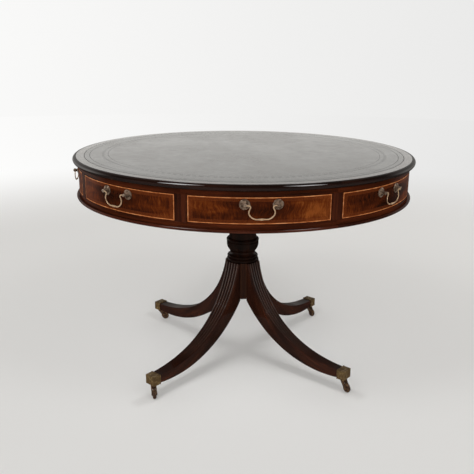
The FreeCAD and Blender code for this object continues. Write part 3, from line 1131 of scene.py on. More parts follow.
@dataclass(frozen=True)
class Assembly:
    """A part of the table: its pieces are made to the plan and ride on the frame's bodies."""

    plan: Plan
    made: dict[Finish, bpy.types.Material]

    def build(self) -> None:
        """Makes the pieces of the part."""
        raise NotImplementedError

    def material(self, finish: Finish) -> bpy.types.Material:
        """The material of a finish, made when it is first asked for.

        Args:
            finish: The finish.

        Returns:
            Its material.
        """
        if finish not in self.made:
            self.made[finish] = finish.make()
        return self.made[finish]

    def deliver(self, mesh: BMesh, name: str, body: str, slot: str, finishes: Sequence[Finish],
                replaces: Sequence[str], edge: float = 0.0, crease: float = 35.0) -> None:
        """Makes one object of a mesh.

        Args:
            mesh: The mesh, in millimetres. It is freed.
            name: The object's name.
            body: The body that it rides on.
            slot: The record's material slot. It is not used.
            finishes: Its finishes, by the material number of its faces.
            replaces: The frame's nodes that it stands for.
            edge: How far its sharp edges are softened, in millimetres.
            crease: The angle from which an edge is sharp.
        """
        bmesh.ops.scale(mesh, vec=(MM,) * 3, verts=mesh.verts)
        data = stored(mesh, name)
        data.shade_smooth()
        data.set_sharp_from_angle(angle=math.radians(crease))
        piece = placed(name, data)
        for finish in finishes:
            data.materials.append(self.material(finish))
        if edge:
            soft = piece.modifiers.new("edges", "BEVEL")
            soft.width, soft.segments, soft.harden_normals = edge * MM, 2, True
            soft.limit_method, soft.angle_limit = "ANGLE", math.radians(crease)
        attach(piece, body)
        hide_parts(*replaces)
        LOG.info("%s: %d faces on %s", name, len(data.polygons), body)

    def dress(self, finish: Finish, *nodes: str) -> None:
        """Gives nodes of the frame a finish.

        Args:
            finish: The finish.
            nodes: The nodes' names.
        """
        for node in nodes:
            for slot in frame["nodes"][node].material_slots:
                slot.material = self.material(finish)
            LOG.info("%s: dressed as %s", node, finish.name)


# Finishes

NOSE_WOOD = Mahogany("nose_wood", Grain.ROUND, shade(12, 6, 4), shade(22, 11, 8),
                     shade(36, 18, 12), polish=0.26, sheen=0.03, lacquer=4.0)
RIM_WOOD = Mahogany("rim_wood", Grain.RADIAL, shade(20, 9, 6), shade(36, 16, 10),
                    shade(58, 28, 17), roughness=0.24, polish=0.75, gloss=0.15, sheen=0.06,
                    lacquer=1.6)
RAIL_WOOD = Mahogany("rail_wood", Grain.ROUND, shade(30, 10, 3), shade(50, 19, 6),
                     shade(74, 31, 12))
STILE_WOOD = Mahogany("stile_wood", Grain.UPRIGHT, shade(28, 11, 5), shade(46, 19, 9),
                      shade(70, 31, 15))
BEAD_WOOD = Mahogany("bead_wood", Grain.ROUND, shade(30, 12, 7), shade(50, 22, 13),
                     shade(74, 36, 22), polish=0.14, lacquer=3.6)
COLUMN_WOOD = Mahogany("column_wood", Grain.UPRIGHT, shade(11, 5, 3), shade(20, 10, 6),
                       shade(40, 19, 11), polish=0.09, sheen=0.05, lacquer=3.8)
LEG_WOOD = Mahogany("leg_wood", Grain.LAID, shade(24, 11, 7), shade(40, 20, 13),
                    shade(60, 30, 18), polish=0.16, sheen=0.07, lacquer=3.8, pitch=12.0)
BLOCK_WOOD = Mahogany("block_wood", Grain.UPRIGHT, shade(28, 14, 9), shade(44, 25, 16),
                      shade(60, 34, 22))
STRING_WOOD = Boxwood("string_wood")
HANDLE_BRASS = Brass("handle_brass", shade(238, 204, 166), shade(168, 134, 102),
                     worn=0.7, roughness=0.28, metal=0.6)
ROSETTE_BRASS = Brass("rosette_brass", shade(215, 190, 168), shade(120, 98, 80),
                      worn=0.55, roughness=0.24, metal=0.8)
# The darker brass of a rosette's dish: painted shade in its hollow.
SHADED_DISH_BRASS = Brass("rosette_dish_painted_shade", shade(165, 138, 116), shade(84, 66, 52),
                     worn=0.5, roughness=0.3, metal=0.6)
CAP_BRASS = Brass("cap_brass", shade(146, 120, 78), shade(98, 76, 46),
                  worn=0.5, roughness=0.42, metal=0.5)
CASTOR_BRASS = Brass("castor_brass", shade(140, 106, 74), shade(70, 48, 34),
                     worn=0.45, roughness=0.36, metal=0.4)
POST_WOOD = PlainTimber("post_wood", Grain.UPRIGHT, shade(70, 38, 20), shade(112, 68, 38))
CARCASS_DEEP, CARCASS_ACROSS = (
    PlainTimber(f"carcass_{grain.value}", grain, shade(92, 60, 36), shade(138, 96, 60))
    for grain in (Grain.DEEP, Grain.ACROSS))
OAK_DEEP, OAK_ACROSS = (
    PlainTimber(f"drawer_oak_{grain.value}", grain, shade(140, 100, 60), shade(184, 142, 94))
    for grain in (Grain.DEEP, Grain.ACROSS))


@dataclass(frozen=True)
class TableTop(Assembly):
    """The round top with its moulded nose, and the leather let into it."""

    undercut: float = 9.0
    under_sweep: float = 80.0
    lift: float = 0.2
    nose: float = 10.0
    nose_sweep: float = 96.0
    nose_steps: int = 8
    quirk: float = 1.5
    quirk_drop: float = 0.6
    rim: float = 25.5
    recess: float = 1.0
    roll: float = 0.6
    roll_slack: float = 0.2
    roll_sweep: float = 80.0
    roll_steps: int = 4
    rings: tuple[float, ...] = (0.97, 0.9, 0.8, 0.5)
    level: float = 0.9
    soft: float = 0.4
    steps: int = 256

    def board(self) -> BMesh:
        """The top board, its flat rim with a finish of its own.

        Returns:
            The board.
        """
        plan = self.plan
        low, high, radius = plan.top_low, plan.top_high, plan.top_radius
        flat = radius - self.nose - self.quirk
        outline = Outline(0, low).to(radius - self.undercut, low)
        outline.bend(radius, low + self.undercut + self.lift, self.under_sweep, self.nose_steps)
        outline.bend(radius - self.nose, high - self.quirk_drop, self.nose_sweep, self.nose_steps)
        outline.to(flat, high - self.quirk_drop).to(flat, high).to(flat - self.rim, high)
        outline.to(flat - self.rim, high - self.recess).to(0, high - self.recess)
        mesh = outline.turn(self.steps)
        for face in mesh.faces:
            on_top = face.calc_center_median().z > high - self.recess / 2
            face.material_index = int(face.normal.z > self.level and on_top)
        return mesh

    def leather(self) -> BMesh:
        """The leather, its edge rolled over a little.

        Returns:
            The leather.
        """
        high, radius = self.plan.top_high, self.plan.leather_radius
        outline = Outline(0, high - self.recess).to(radius, high - self.recess)
        outline.to(radius, high - self.roll + self.roll_slack)
        outline.bend(radius - self.roll, high, self.roll_sweep, self.roll_steps)
        outline.trace([(radius * share, high) for share in self.rings])
        return outline.to(0, high).turn(self.steps)

    def build(self) -> None:
        """Makes the top's pieces."""
        self.deliver(self.board(), "moulded_top", "drum", "top_wood", [NOSE_WOOD, RIM_WOOD],
                     ["top_board"], self.soft)
        self.deliver(self.leather(), "tooled_leather", "drum", "leather",
                     [Hide("tooled_hide", self.plan.leather_radius)], ["leather_top"])


@dataclass(frozen=True)
class Frieze(Assembly):
    """The rails, uprights and bead of the drum."""

    rail_width: float = 43.0
    front_gap: float = 0.8
    stile_depth: float = 30.0
    stile_steps: int = 4
    bead_flat: float = 2.6
    bead_steps: int = 8
    hole: float = 21.0
    soft: float = 0.3
    stile_soft: float = 0.4
    steps: int = 256

    def ring(self, low: float, high: float) -> BMesh:
        """A rail between two heights.

        Args:
            low: Its underside.
            high: Its upper side.

        Returns:
            The rail.
        """
        outer = self.plan.frieze_radius
        outline = Outline(outer - self.rail_width, low).to(outer, low).to(outer, high)
        return outline.to(outer - self.rail_width, high).close().turn(self.steps)

    def board(self) -> BMesh:
        """The bottom board with the bead on its edge.

        Returns:
            The board.
        """
        plan = self.plan
        low, high = plan.board_low, plan.board_high
        root = plan.frieze_radius + self.bead_flat
        half = (high - low) / 2
        start = plan.bead_radius - half
        outline = Outline(self.hole, low).to(root, low).to(start, low)
        outline.bend(plan.bead_radius, low + half, 90, self.bead_steps)
        outline.bend(start, high, 90, self.bead_steps)
        return outline.to(root, high).to(self.hole, high).close().turn(self.steps)

    def stile(self) -> BMesh:
        """One upright, its flanks along those of the fronts beside it.

        Returns:
            The upright to the right of the first front.
        """
        plan = self.plan
        radius, lean = plan.frieze_radius, math.radians(HALF_SECTOR)
        half = radius * math.sin(lean - math.asin((plan.front_half + self.front_gap) / radius))
        low, high = plan.front_low - self.front_gap, plan.front_high + self.front_gap
        mesh = curved_sheet(radius, half, low, high, self.stile_steps)
        made = bmesh.ops.extrude_face_region(mesh, geom=mesh.faces[:])
        back = of(made["geom"], BMVert)
        narrowing = (half - self.stile_depth * math.tan(lean)) / half
        bmesh.ops.translate(mesh, vec=(0, self.stile_depth, 0), verts=back)
        bmesh.ops.scale(mesh, vec=(narrowing, 1, 1), verts=back)
        return moved(settled(mesh), turned(HALF_SECTOR))

    def build(self) -> None:
        """Makes the frieze's pieces."""
        plan = self.plan
        for name, low, high in (
                ("upper", plan.front_high + self.front_gap, plan.top_low),
                ("lower", plan.board_high, plan.front_low - self.front_gap)):
            self.deliver(self.ring(low, high), f"frieze_rail_{name}", "drum", "rail_wood",
                         [RAIL_WOOD], [f"{name}_rail"], self.soft)
        self.deliver(self.board(), "beaded_board", "drum", "bead_wood", [BEAD_WOOD],
                     ["bottom_board"], self.soft)
        stile = self.stile()
        stiles = joined([copied(stile, sector(index + 1)) for index in range(SECTORS)])
        self.deliver(stiles, "frieze_uprights", "drum", "stile_wood", [STILE_WOOD],
                     ["frieze_stiles"], self.stile_soft)


def curved_sheet(radius: float, half: float, low: float, high: float, steps: int) -> BMesh:
    """A sheet curved about the table's axis, at its front.

    Args:
        radius: How far out it stands.
        half: Half of its width, straight across.
        low: Its lower edge.
        high: Its upper edge.
        steps: How many flats go across.

    Returns:
        The sheet.
    """
    mesh = bmesh.new()
    foot = bmesh.ops.create_vert(mesh, co=(0, -radius, low))["vert"][0]
    head = bmesh.ops.extrude_vert_indiv(mesh, verts=[foot])["verts"][0]
    head.co.z = high
    sweep = math.asin(half / radius)
    bmesh.ops.rotate(mesh, verts=mesh.verts, cent=ORIGIN, matrix=Matrix.Rotation(-sweep, 3, "Z"))
    bmesh.ops.spin(mesh, geom=everything(mesh), cent=ORIGIN, axis=UP, angle=2 * sweep,
                   steps=steps)
    return mesh


@dataclass(frozen=True)
class Fronts(Assembly):
    """The eight curved fronts, veneered and strung."""

    thickness: float = 21.5
    margin: float = 1.2
    side_margin: float = 2.6
    string: float = 2.1
    soft: float = 0.3
    steps: int = 44

    def board(self) -> BMesh:
        """One front, its string let in round the outer face.

        Returns:
            The first front.
        """
        plan = self.plan
        half, low, high = plan.front_half, plan.front_low, plan.front_high
        mesh = curved_sheet(plan.frieze_radius, half, low, high, self.steps)
        for inset in (0, self.string):
            aside = half - self.side_margin - inset
            under, over = low + self.margin + inset, high - self.margin - inset
            for place, normal in (((aside, 0, 0), (1, 0, 0)), ((-aside, 0, 0), (1, 0, 0)),
                                  ((0, 0, under), UP), ((0, 0, over), UP)):
                bmesh.ops.bisect_plane(mesh, geom=everything(mesh), plane_co=place,
                                       plane_no=normal, dist=CUT_SLACK)
        strung = []
        for face in mesh.faces:
            middle = face.calc_center_median()
            inset = min(half - abs(middle.x) - self.side_margin,
                        min(middle.z - low, high - middle.z) - self.margin)
            if 0 < inset < self.string:
                strung.append(face)
        made = bmesh.ops.extrude_face_region(mesh, geom=mesh.faces[:])
        share = 1 - self.thickness / plan.frieze_radius
        bmesh.ops.scale(mesh, vec=(share, share, 1), verts=of(made["geom"], BMVert))
        for face in strung:
            face.material_index = 1
        return settled(mesh)

    def build(self) -> None:
        """Makes the four drawer fronts and the four fixed ones."""
        plan = self.plan
        finishes = [FlameVeneer("flame_veneer", plan.front_half, plan.front_low,
                                plan.front_high), STRING_WOOD]
        board = self.board()
        for number in DRAWERS:
            self.deliver(copied(board, sector(number)), f"strung_front_{number}",
                         f"drawer_{number}", "front_veneer", finishes,
                         [f"drawer_{number}_front"], self.soft)
        fixed = joined([copied(board, sector(number)) for number in FIXED])
        self.deliver(fixed, "strung_fixed_fronts", "drum", "front_veneer", finishes,
                     ["dummy_fronts"], self.soft)


@dataclass(frozen=True)
class Handles(Assembly):
    """The swan-neck bails and the turned rosettes that they hang from."""

    half_span: float = 45.0
    rosette: tuple[Station, ...] = (
        (14.5, -3.5), (14.5, 1.0), (13.2, 2.3, 90, 4), (12.1, 2.3), (10.5, 2.2, -150, 5),
        (6.4, 5.2, 40, 6), (3.9, 7.4, -50, 4), (3.9, 8.2), (5.6, 13.5, 60, 5), (0, 18.7, 90, 10))
    dish: float = 10.3
    dish_high: float = 9.0
    pin_out: float = 15.5
    wire: float = 1.6
    neck: float = 26.6
    belly: float = 38.6
    belly_drop: float = 21.0
    foot: float = 22.0
    drop: float = 37.5
    grip: float = 12.5
    swell: float = 1.7
    grip_steps: int = 10
    bends: tuple[float, ...] = (22.0, 15.0, 5.0)
    sides: int = 16
    steps: int = 40

    def button(self) -> BMesh:
        """One rosette, its back at the origin and its ball upwards.

        Returns:
            The rosette.
        """
        mesh = Outline(0, self.rosette[0][1]).trace(self.rosette).turn(self.steps)
        for face in mesh.faces:
            middle = face.calc_center_median()
            # Faces in the dish take the darker second brass, a painted shade.
            face.material_index = int(middle.xy.length < self.dish and middle.z < self.dish_high)
        return mesh

    def girth(self, share: float) -> float:
        """The bail's radius at a share of the way from its middle to its grip's end."""
        return self.wire * (1 + (self.swell - 1) * math.cos(share * math.pi / 2) ** 2)

    def pair(self, number: int) -> list[BMesh]:
        """The two rosettes of a front.

        Args:
            number: The front's number.

        Returns:
            Both rosettes, in place.
        """
        plan = self.plan
        meshes = []
        for side in (-1, 1):
            seat = Matrix.Translation((side * self.half_span, self.pin_out - plan.handle_reach,
                                       plan.handle_height))
            meshes.append(moved(self.button(), sector(number) @ seat @ turned(90, "X")))
        return meshes

    def bail(self) -> BMesh:
        """The bail of the front drawer.

        Returns:
            The bail, in place.
        """
        plan = self.plan

        def at(x: float, drop: float) -> Vector:
            """A point of the bail's middle line."""
            return Vector((x, -plan.handle_reach, plan.handle_height - drop))

        wire = BentWire(self.girth(0), self.sides, at(0, self.drop), Vector((1, 0, 0)))
        for index in range(self.grip_steps):
            before, after = (self.girth((index + end) / self.grip_steps) for end in (0, 1))
            wire.run(self.grip / self.grip_steps, after / before)
        wire.follow([at(self.foot, self.drop), at(self.belly, self.belly_drop),
                     at(self.neck, 0), at(self.half_span, 0)], self.bends)
        mesh = wire.close()
        start = [face for face in mesh.faces if abs(face.calc_center_median().x) < NEAR]
        bmesh.ops.delete(mesh, geom=start, context="FACES_ONLY")
        bmesh.ops.mirror(mesh, geom=everything(mesh), matrix=Matrix.Identity(4),
                         merge_dist=NEAR, axis="X")
        return settled(mesh)

    def build(self) -> None:
        """Makes the rosettes and bails of every front."""
        bail = self.bail()
        for number in sorted(DRAWERS + FIXED):
            self.deliver(copied(bail, sector(number)), f"swan_neck_{number}",
                         f"hanging_bail_{number}", "handle_brass", [HANDLE_BRASS],
                         [f"bail_{number}"])
        brasses = [ROSETTE_BRASS, SHADED_DISH_BRASS]
        for number in DRAWERS:
            self.deliver(joined(self.pair(number)), f"turned_rosettes_{number}",
                         f"drawer_{number}", "handle_brass", brasses,
                         [f"drawer_{number}_rosettes"])
        fixed = [mesh for number in FIXED for mesh in self.pair(number)]
        self.deliver(joined(fixed), "turned_rosettes_fixed", "drum", "handle_brass", brasses,
                     ["dummy_rosettes"])


@dataclass(frozen=True)
class Column(Assembly):
    """The turned column and the block that the legs are let into."""

    block: float = 54.0
    block_high: float = 359.5
    block_round: float = 6.0
    leg_flat: float = 45.9
    rings: tuple[Station, ...] = (
        (50, -4), (50, 0), (52.5, 0), (52.5, 1), (52.5, 13, 137, 10), (50.5, 13), (50.5, 14),
        (50.5, 24, 168, 10), (45, 36, -60, 8), (45, 37.5), (57, 68.5, 50, 10), (57, 71.5),
        (54.5, 71.5), (54.5, 73), (54.5, 85, 124, 10), (49, 85))
    neck: tuple[Station, ...] = (
        (40, -26, 4, 12), (40, -17, 229, 10), (40, -16), (62, 0, -50, 10), (0, 0))
    soft: float = 0.3
    steps: int = 96

    def turning(self) -> BMesh:
        """Everything above the leg block.

        Returns:
            The turned form.
        """
        outline = Outline(0, self.block_high + self.rings[0][1])
        outline.trace(self.rings, self.block_high).trace(self.neck, self.plan.column_high)
        return outline.turn(self.steps)

    def leg_block(self) -> BMesh:
        """The block, with a flat for each leg and a button below.

        Returns:
            The block.
        """
        low, edge = self.plan.block_low, self.block_round
        outline = Outline(0, low).to(self.block - edge, low).bend(self.block, low + edge, 90)
        mesh = outline.to(self.block, self.block_high).to(0, self.block_high).turn(self.steps)
        for index in range(4):
            out = turned(45 + 90 * index) @ Vector((1, 0, 0))
            cut_off(mesh, out * self.leg_flat, out)
        for face in mesh.faces:
            face.material_index = 1
        return settled(mesh)

    def build(self) -> None:
        """Makes the column."""
        self.deliver(joined([self.turning(), self.leg_block()]), "turned_column", "pedestal",
                     "pedestal_wood", [COLUMN_WOOD, BLOCK_WOOD], ["column"], self.soft)


@dataclass(frozen=True)
class Leg(Assembly):
    """A reeded sabre leg, swept about a centre above its toe."""

    centre: float = 430.0
    high: float = 359.5
    toe: tuple[float, float] = (46.0, 73.0)
    root_reach: float = 57.0
    root_inside: float = 21.0
    top_bends: tuple[float, float] = (0.4, 1.01)
    under_bends: tuple[float, float] = (0.474, 0.842)
    root_width: float = 60.0
    arris: float = 2.4
    toe_width: float = 36.5
    shoulder: float = 45.95
    toe_inside: float = 20.0
    reeds: int = 5
    reed_steps: int = 8
    reed_depth: float = 2.6
    fade: tuple[float, float] = (0.4, 0.85)
    on_top: float = 0.999
    soft: float = 0.3
    crease: float = 32.0
    steps: int = 56

    @staticmethod
    def curve(first: float, last: float, bends: tuple[float, float], share: float) -> float:
        """A face's reach from the centre of sweep.

        Args:
            first: Its reach at the column.
            last: Its reach at the toe.
            bends: Where the two points between lie, as shares of the way.
            share: The share of the sweep.

        Returns:
            The reach.
        """
        rest = 1 - share
        second, third = (first + (last - first) * bend for bend in bends)
        return (first * rest ** 3 + second * 3 * rest ** 2 * share
                + third * 3 * rest * share ** 2 + last * share ** 3)

    def top(self, share: float) -> float:
        """The upper face's reach at a share of the sweep."""
        return self.curve(self.centre - self.root_reach, self.high - self.toe[1], self.top_bends,
                          share)

    def under(self, share: float) -> float:
        """The lower face's reach at a share of the sweep."""
        return self.curve(self.centre + self.root_inside, self.high - self.toe[0],
                          self.under_bends, share)

    def section(self) -> Outline:
        """The section at the column, its reeds not yet cut.

        Returns:
            The closed section.
        """
        half, edge = self.root_width / 2, self.arris
        under, top = -self.root_inside, self.root_reach
        outline = Outline(under, edge - half, self.high).to(under, half - edge, self.high)
        outline.to(under + edge, half, self.high)
        count = self.reeds * self.reed_steps
        for index in range(count + 1):
            outline.to(top, half * (1 - 2 * index / count), self.high)
        return outline.to(under + edge, -half, self.high).close()

    def blade(self) -> BMesh:
        """The leg, pointing towards +X.

        Returns:
            The leg, with its grain noted on its points.
        """
        mesh = self.section().mesh
        bmesh.ops.contextual_create(mesh, geom=mesh.edges[:])
        bmesh.ops.spin(mesh, geom=everything(mesh), cent=(self.centre, 0, self.high),
                       axis=(0, -1, 0), angle=math.pi / 2, steps=self.steps)
        layer = mesh.verts.layers.float_vector.new("grain")
        for vert in mesh.verts:
            vert.co, vert[layer] = self.shaped(vert.co)
        toe = [face for face in mesh.faces if face.calc_center_median().x > self.centre - FACE_SLACK]
        made = bmesh.ops.extrude_face_region(mesh, geom=toe)
        bmesh.ops.translate(mesh, vec=(self.toe_inside, 0, 0), verts=of(made["geom"], BMVert))
        bmesh.ops.delete(mesh, geom=toe, context="FACES_ONLY")
        cut_off(mesh, (self.shoulder, 0, 0), (-1, 0, 0))
        return settled(mesh)

    def shaped(self, place: Vector) -> tuple[Vector, Vector]:
        """Moves a point of the plain sweep to the leg's own surface.

        Args:
            place: The point on the sweep of the section.

        Returns:
            The point on the leg, and its place along, across and through the wood.
        """
        out = place - Vector((self.centre, place.y, self.high))
        share = 1 - math.atan2(-out.x, -out.z) / (math.pi / 2)
        under, top = self.under(share), self.top(share)
        depth = (self.under(0) - out.length) / (self.under(0) - self.top(0))
        side = place.y / (self.root_width / 2)
        reach = under + (top - under) * depth
        if depth > self.on_top:
            part = (1 - side) / 2 * self.reeds % 1
            low, high = self.fade
            rise = min(max((share - low) / (high - low), 0), 1)
            reach += self.reed_depth * (1 - rise * rise * (3 - 2 * rise)) * (2 * part - 1) ** 2
        point = Vector((self.centre, 0, self.high)) + out.normalized() * reach
        taper = (self.root_width - self.toe_width) / self.top(0)
        point.y = side / 2 * (self.toe_width + taper * (self.centre - point.x))
        return point, Vector((share * LEG_GRAIN, place.y, reach))

    def build(self) -> None:
        """Makes the four legs."""
        blade = self.blade()
        for number, name in enumerate(LEG_NAMES):
            mesh = copied(blade, diagonal(number))
            layer = mesh.verts.layers.float_vector["grain"]
            along, through = LEG_CUT
            for vert in mesh.verts:
                vert[layer] = vert[layer] + Vector((number * along, 0, number * through))
            self.deliver(mesh, f"sabre_leg_{name}", "pedestal", "pedestal_wood", [LEG_WOOD],
                         [f"leg_{name}"], self.soft, self.crease)


@dataclass(frozen=True)
class ToeCaps(Assembly):
    """The cast brass caps on the toes, each with a raised band."""

    back: float = 430.3
    length: float = 29.2
    half: float = 20.55
    low: float = 43.7
    high: float = 75.3
    band: float = 0.8
    band_length: float = 3.0
    chamfer: float = 1.6
    soft: float = 0.7

    def cap(self) -> BMesh:
        """One cap, pointing towards +X.

        Returns:
            The cap.
        """
        mesh = bmesh.new()
        middle = (self.low + self.high) / 2
        rise = (self.high - self.low) / 2
        bmesh.ops.create_circle(mesh, cap_ends=True, segments=4, radius=math.sqrt(2),
                                matrix=turned(45, "X") @ turned(90, "Y"))
        face = mesh.faces[:][0]
        stations = ((0, self.band), (self.band_length, self.band), (self.band_length, 0),
                    (self.length - self.chamfer, 0), (self.length, -self.chamfer))
        for number, (along, proud) in enumerate(stations):
            if number:
                made = bmesh.ops.extrude_face_region(mesh, geom=[face])
                face = of(made["geom"], BMFace)[0]
            for vert in face.verts:
                vert.co = (self.back + along, math.copysign(self.half + proud, vert.co.y),
                           middle + math.copysign(rise + proud, vert.co.z - (
                               middle if number else 0)))
        return settled(mesh)

    def build(self) -> None:
        """Makes the four caps."""
        cap = self.cap()
        caps = joined([copied(cap, diagonal(number)) for number in range(len(LEG_NAMES))])
        self.deliver(caps, "cast_toe_caps", "pedestal", "castor_brass", [CAP_BRASS],
                     ["toe_caps"], self.soft)


@dataclass(frozen=True)
class Castor(Assembly):
    """One castor: a flanged horn whose fork trails, and its wheel."""

    name: str
    flange: tuple[Station, ...] = (
        (8, -4.5), (8, -2.5), (9.2, -2.5), (10, -1.6, 90, 4), (10, -0.6), (9.4, 0, 90, 3),
        (4, 0), (4, 0.25), (0, 0.25))
    flange_low: float = 2.5
    root: float = 8.0
    root_drop: float = 5.0
    root_front: float = 1.2
    root_back: float = 2.5
    cheek: float = 5.2
    gap_half: float = 6.1
    fork_half: float = 8.7
    web_half: float = 6.5
    web_turns: tuple[float, ...] = (-50, -25, 0, 25, 50)
    wheel_gap: float = 1.6
    pin: tuple[Station, ...] = (
        (1.6, -9.6), (2.6, -8.8, 60, 4), (2.0, -8.7), (2.0, 8.7), (2.6, 8.8), (1.6, 9.6, 60, 4),
        (0, 9.6))
    wheel: float = 16.0
    tread: tuple[Station, ...] = (
        (4.6, -5.5), (5.2, -4.9), (6.2, -3.5), (10.4, -3.5), (11.4, -5.0), (13.4, -5.2),
        (13.4, 5.2, 128, 12), (11.4, 5.0), (10.4, 3.5), (6.2, 3.5), (5.2, 4.9), (4.6, 5.5),
        (2.2, 5.5))
    bore: float = 2.2
    rim: float = 12.0
    soft: float = 0.35
    flange_steps: int = 32
    pin_steps: int = 20
    wheel_steps: int = 40

    def on_axle(self, mesh: BMesh, trail: float) -> BMesh:
        """The mesh with its upright axis laid along the axle."""
        return moved(mesh, Matrix.Translation((trail, 0, self.wheel)) @ turned(90, "X"))

    def fork(self, low: float, trail: float, near: float, far: float) -> BMesh:
        """A slice of the fork, which narrows to a round end about the axle.

        Args:
            low: The underside of the flange.
            trail: How far the axle lies behind the pintle.
            near: Where the slice starts, across the horn.
            far: Where it ends.

        Returns:
            The slice.
        """
        lean = math.atan2(low - self.wheel, -trail) + math.pi / 2
        aside, up = math.cos(lean) * self.cheek, math.sin(lean) * self.cheek
        outline = Outline(self.root, low).to(-self.root, low)
        outline.to(self.root_front - self.root, low - self.root_drop)
        outline.to(trail + aside, self.wheel + up)
        outline.bend(trail - aside, self.wheel - up, 180, 12)
        return outline.to(self.root + self.root_back, low - self.root_drop).close().slab(near, far)

    def horn(self, high: float, trail: float) -> BMesh:
        """The horn, trailing towards +X, with a web between its cheeks over the wheel.

        Args:
            high: The top of its flange.
            trail: How far the axle lies behind the pintle.

        Returns:
            The horn.
        """
        low = high - self.flange_low
        flange = Outline(0, high + self.flange[0][1]).trace(self.flange, high)
        parts = [flange.turn(self.flange_steps),
                 self.fork(low, trail, -self.fork_half, -self.gap_half),
                 self.fork(low, trail, self.gap_half, self.fork_half)]
        for degrees in self.web_turns:
            web = self.fork(low, trail, -self.web_half, self.web_half)
            out = turned(degrees, "Y") @ UP
            place = Vector((trail, 0, self.wheel)) + out * (self.wheel + self.wheel_gap)
            cut_off(web, place, -out)
            parts.append(settled(web))
        pin = Outline(0, self.pin[0][1]).trace(self.pin).turn(self.pin_steps)
        return joined(parts + [self.on_axle(pin, trail)])

    def roller(self, trail: float) -> BMesh:
        """The wheel, with a rounded tread, a dished web and a hub.

        Args:
            trail: How far the axle lies behind the pintle.

        Returns:
            The wheel.
        """
        outline = Outline(self.bore, self.tread[0][1]).trace(self.tread)
        mesh = outline.close().turn(self.wheel_steps)
        stretch = (self.wheel - self.rim) / (max(vert.co.x for vert in mesh.verts) - self.rim)
        for vert in mesh.verts:
            length = vert.co.xy.length
            if length > self.rim:
                wanted = self.rim + (length - self.rim) * stretch
                vert.co.xy = vert.co.xy * (wanted / length)
        return self.on_axle(mesh, trail)

    def build(self) -> None:
        """Makes the castor under its cap."""
        pivot = joint_place(f"castor_{self.name}_swivel")
        axle = joint_place(f"wheel_{self.name}_spin")
        trail = axle.xy - pivot.xy
        way = Matrix.Translation((pivot.x, pivot.y, 0)) @ turned(
            math.degrees(math.atan2(trail.y, trail.x)))
        self.deliver(moved(self.horn(pivot.z, trail.length), way), f"forked_horn_{self.name}",
                     f"castor_{self.name}", "castor_brass", [CASTOR_BRASS],
                     [f"castor_horn_{self.name}"], self.soft)
        self.deliver(moved(self.roller(trail.length), way), f"brass_roller_{self.name}",
                     f"wheel_{self.name}", "castor_brass", [CASTOR_BRASS],
                     [f"castor_wheel_{self.name}"])


@dataclass(frozen=True)
class Carcass(Assembly):
    """The frame's own pieces inside the drum and under it."""

    def build(self) -> None:
        """Dresses the pieces that stay as the frame has them."""
        self.dress(CARCASS_DEEP, "drawer_guides", "drawer_stops")
        self.dress(CARCASS_ACROSS, "hub_block")
        self.dress(POST_WOOD, "pivot_post", "post_key")
        self.dress(COLUMN_WOOD, "bearer_plate")
        for number in DRAWERS:
            sides, panel = (OAK_DEEP, OAK_ACROSS) if number in (1, 5) else (OAK_ACROSS, OAK_DEEP)
            self.dress(sides, f"drawer_{number}_sides")
            self.dress(panel, f"drawer_{number}_bottom")


@dataclass(frozen=True)
class Softbox:
    """A soft studio lamp that looks at the table."""

    name: str
    azimuth: float
    elevation: float
    distance: float
    width: float
    height: float
    power: float
    aim_height: float = 0.6

    def build(self) -> None:
        """Hangs the lamp, its azimuth counted from the front towards +X."""
        light = bpy.data.lights.new(self.name, "AREA")
        light.shape, light.size, light.size_y = "RECTANGLE", self.width, self.height
        light.energy = self.power
        lamp = placed(self.name, light)
        turn, rise = math.radians(self.azimuth), math.radians(self.elevation)
        out = Vector((math.sin(turn) * math.cos(rise), -math.cos(turn) * math.cos(rise),
                      math.sin(rise)))
        aim = UP * self.aim_height
        lamp.location = aim + out * self.distance
        lamp.rotation_euler = out.to_track_quat("Z", "Y").to_euler()


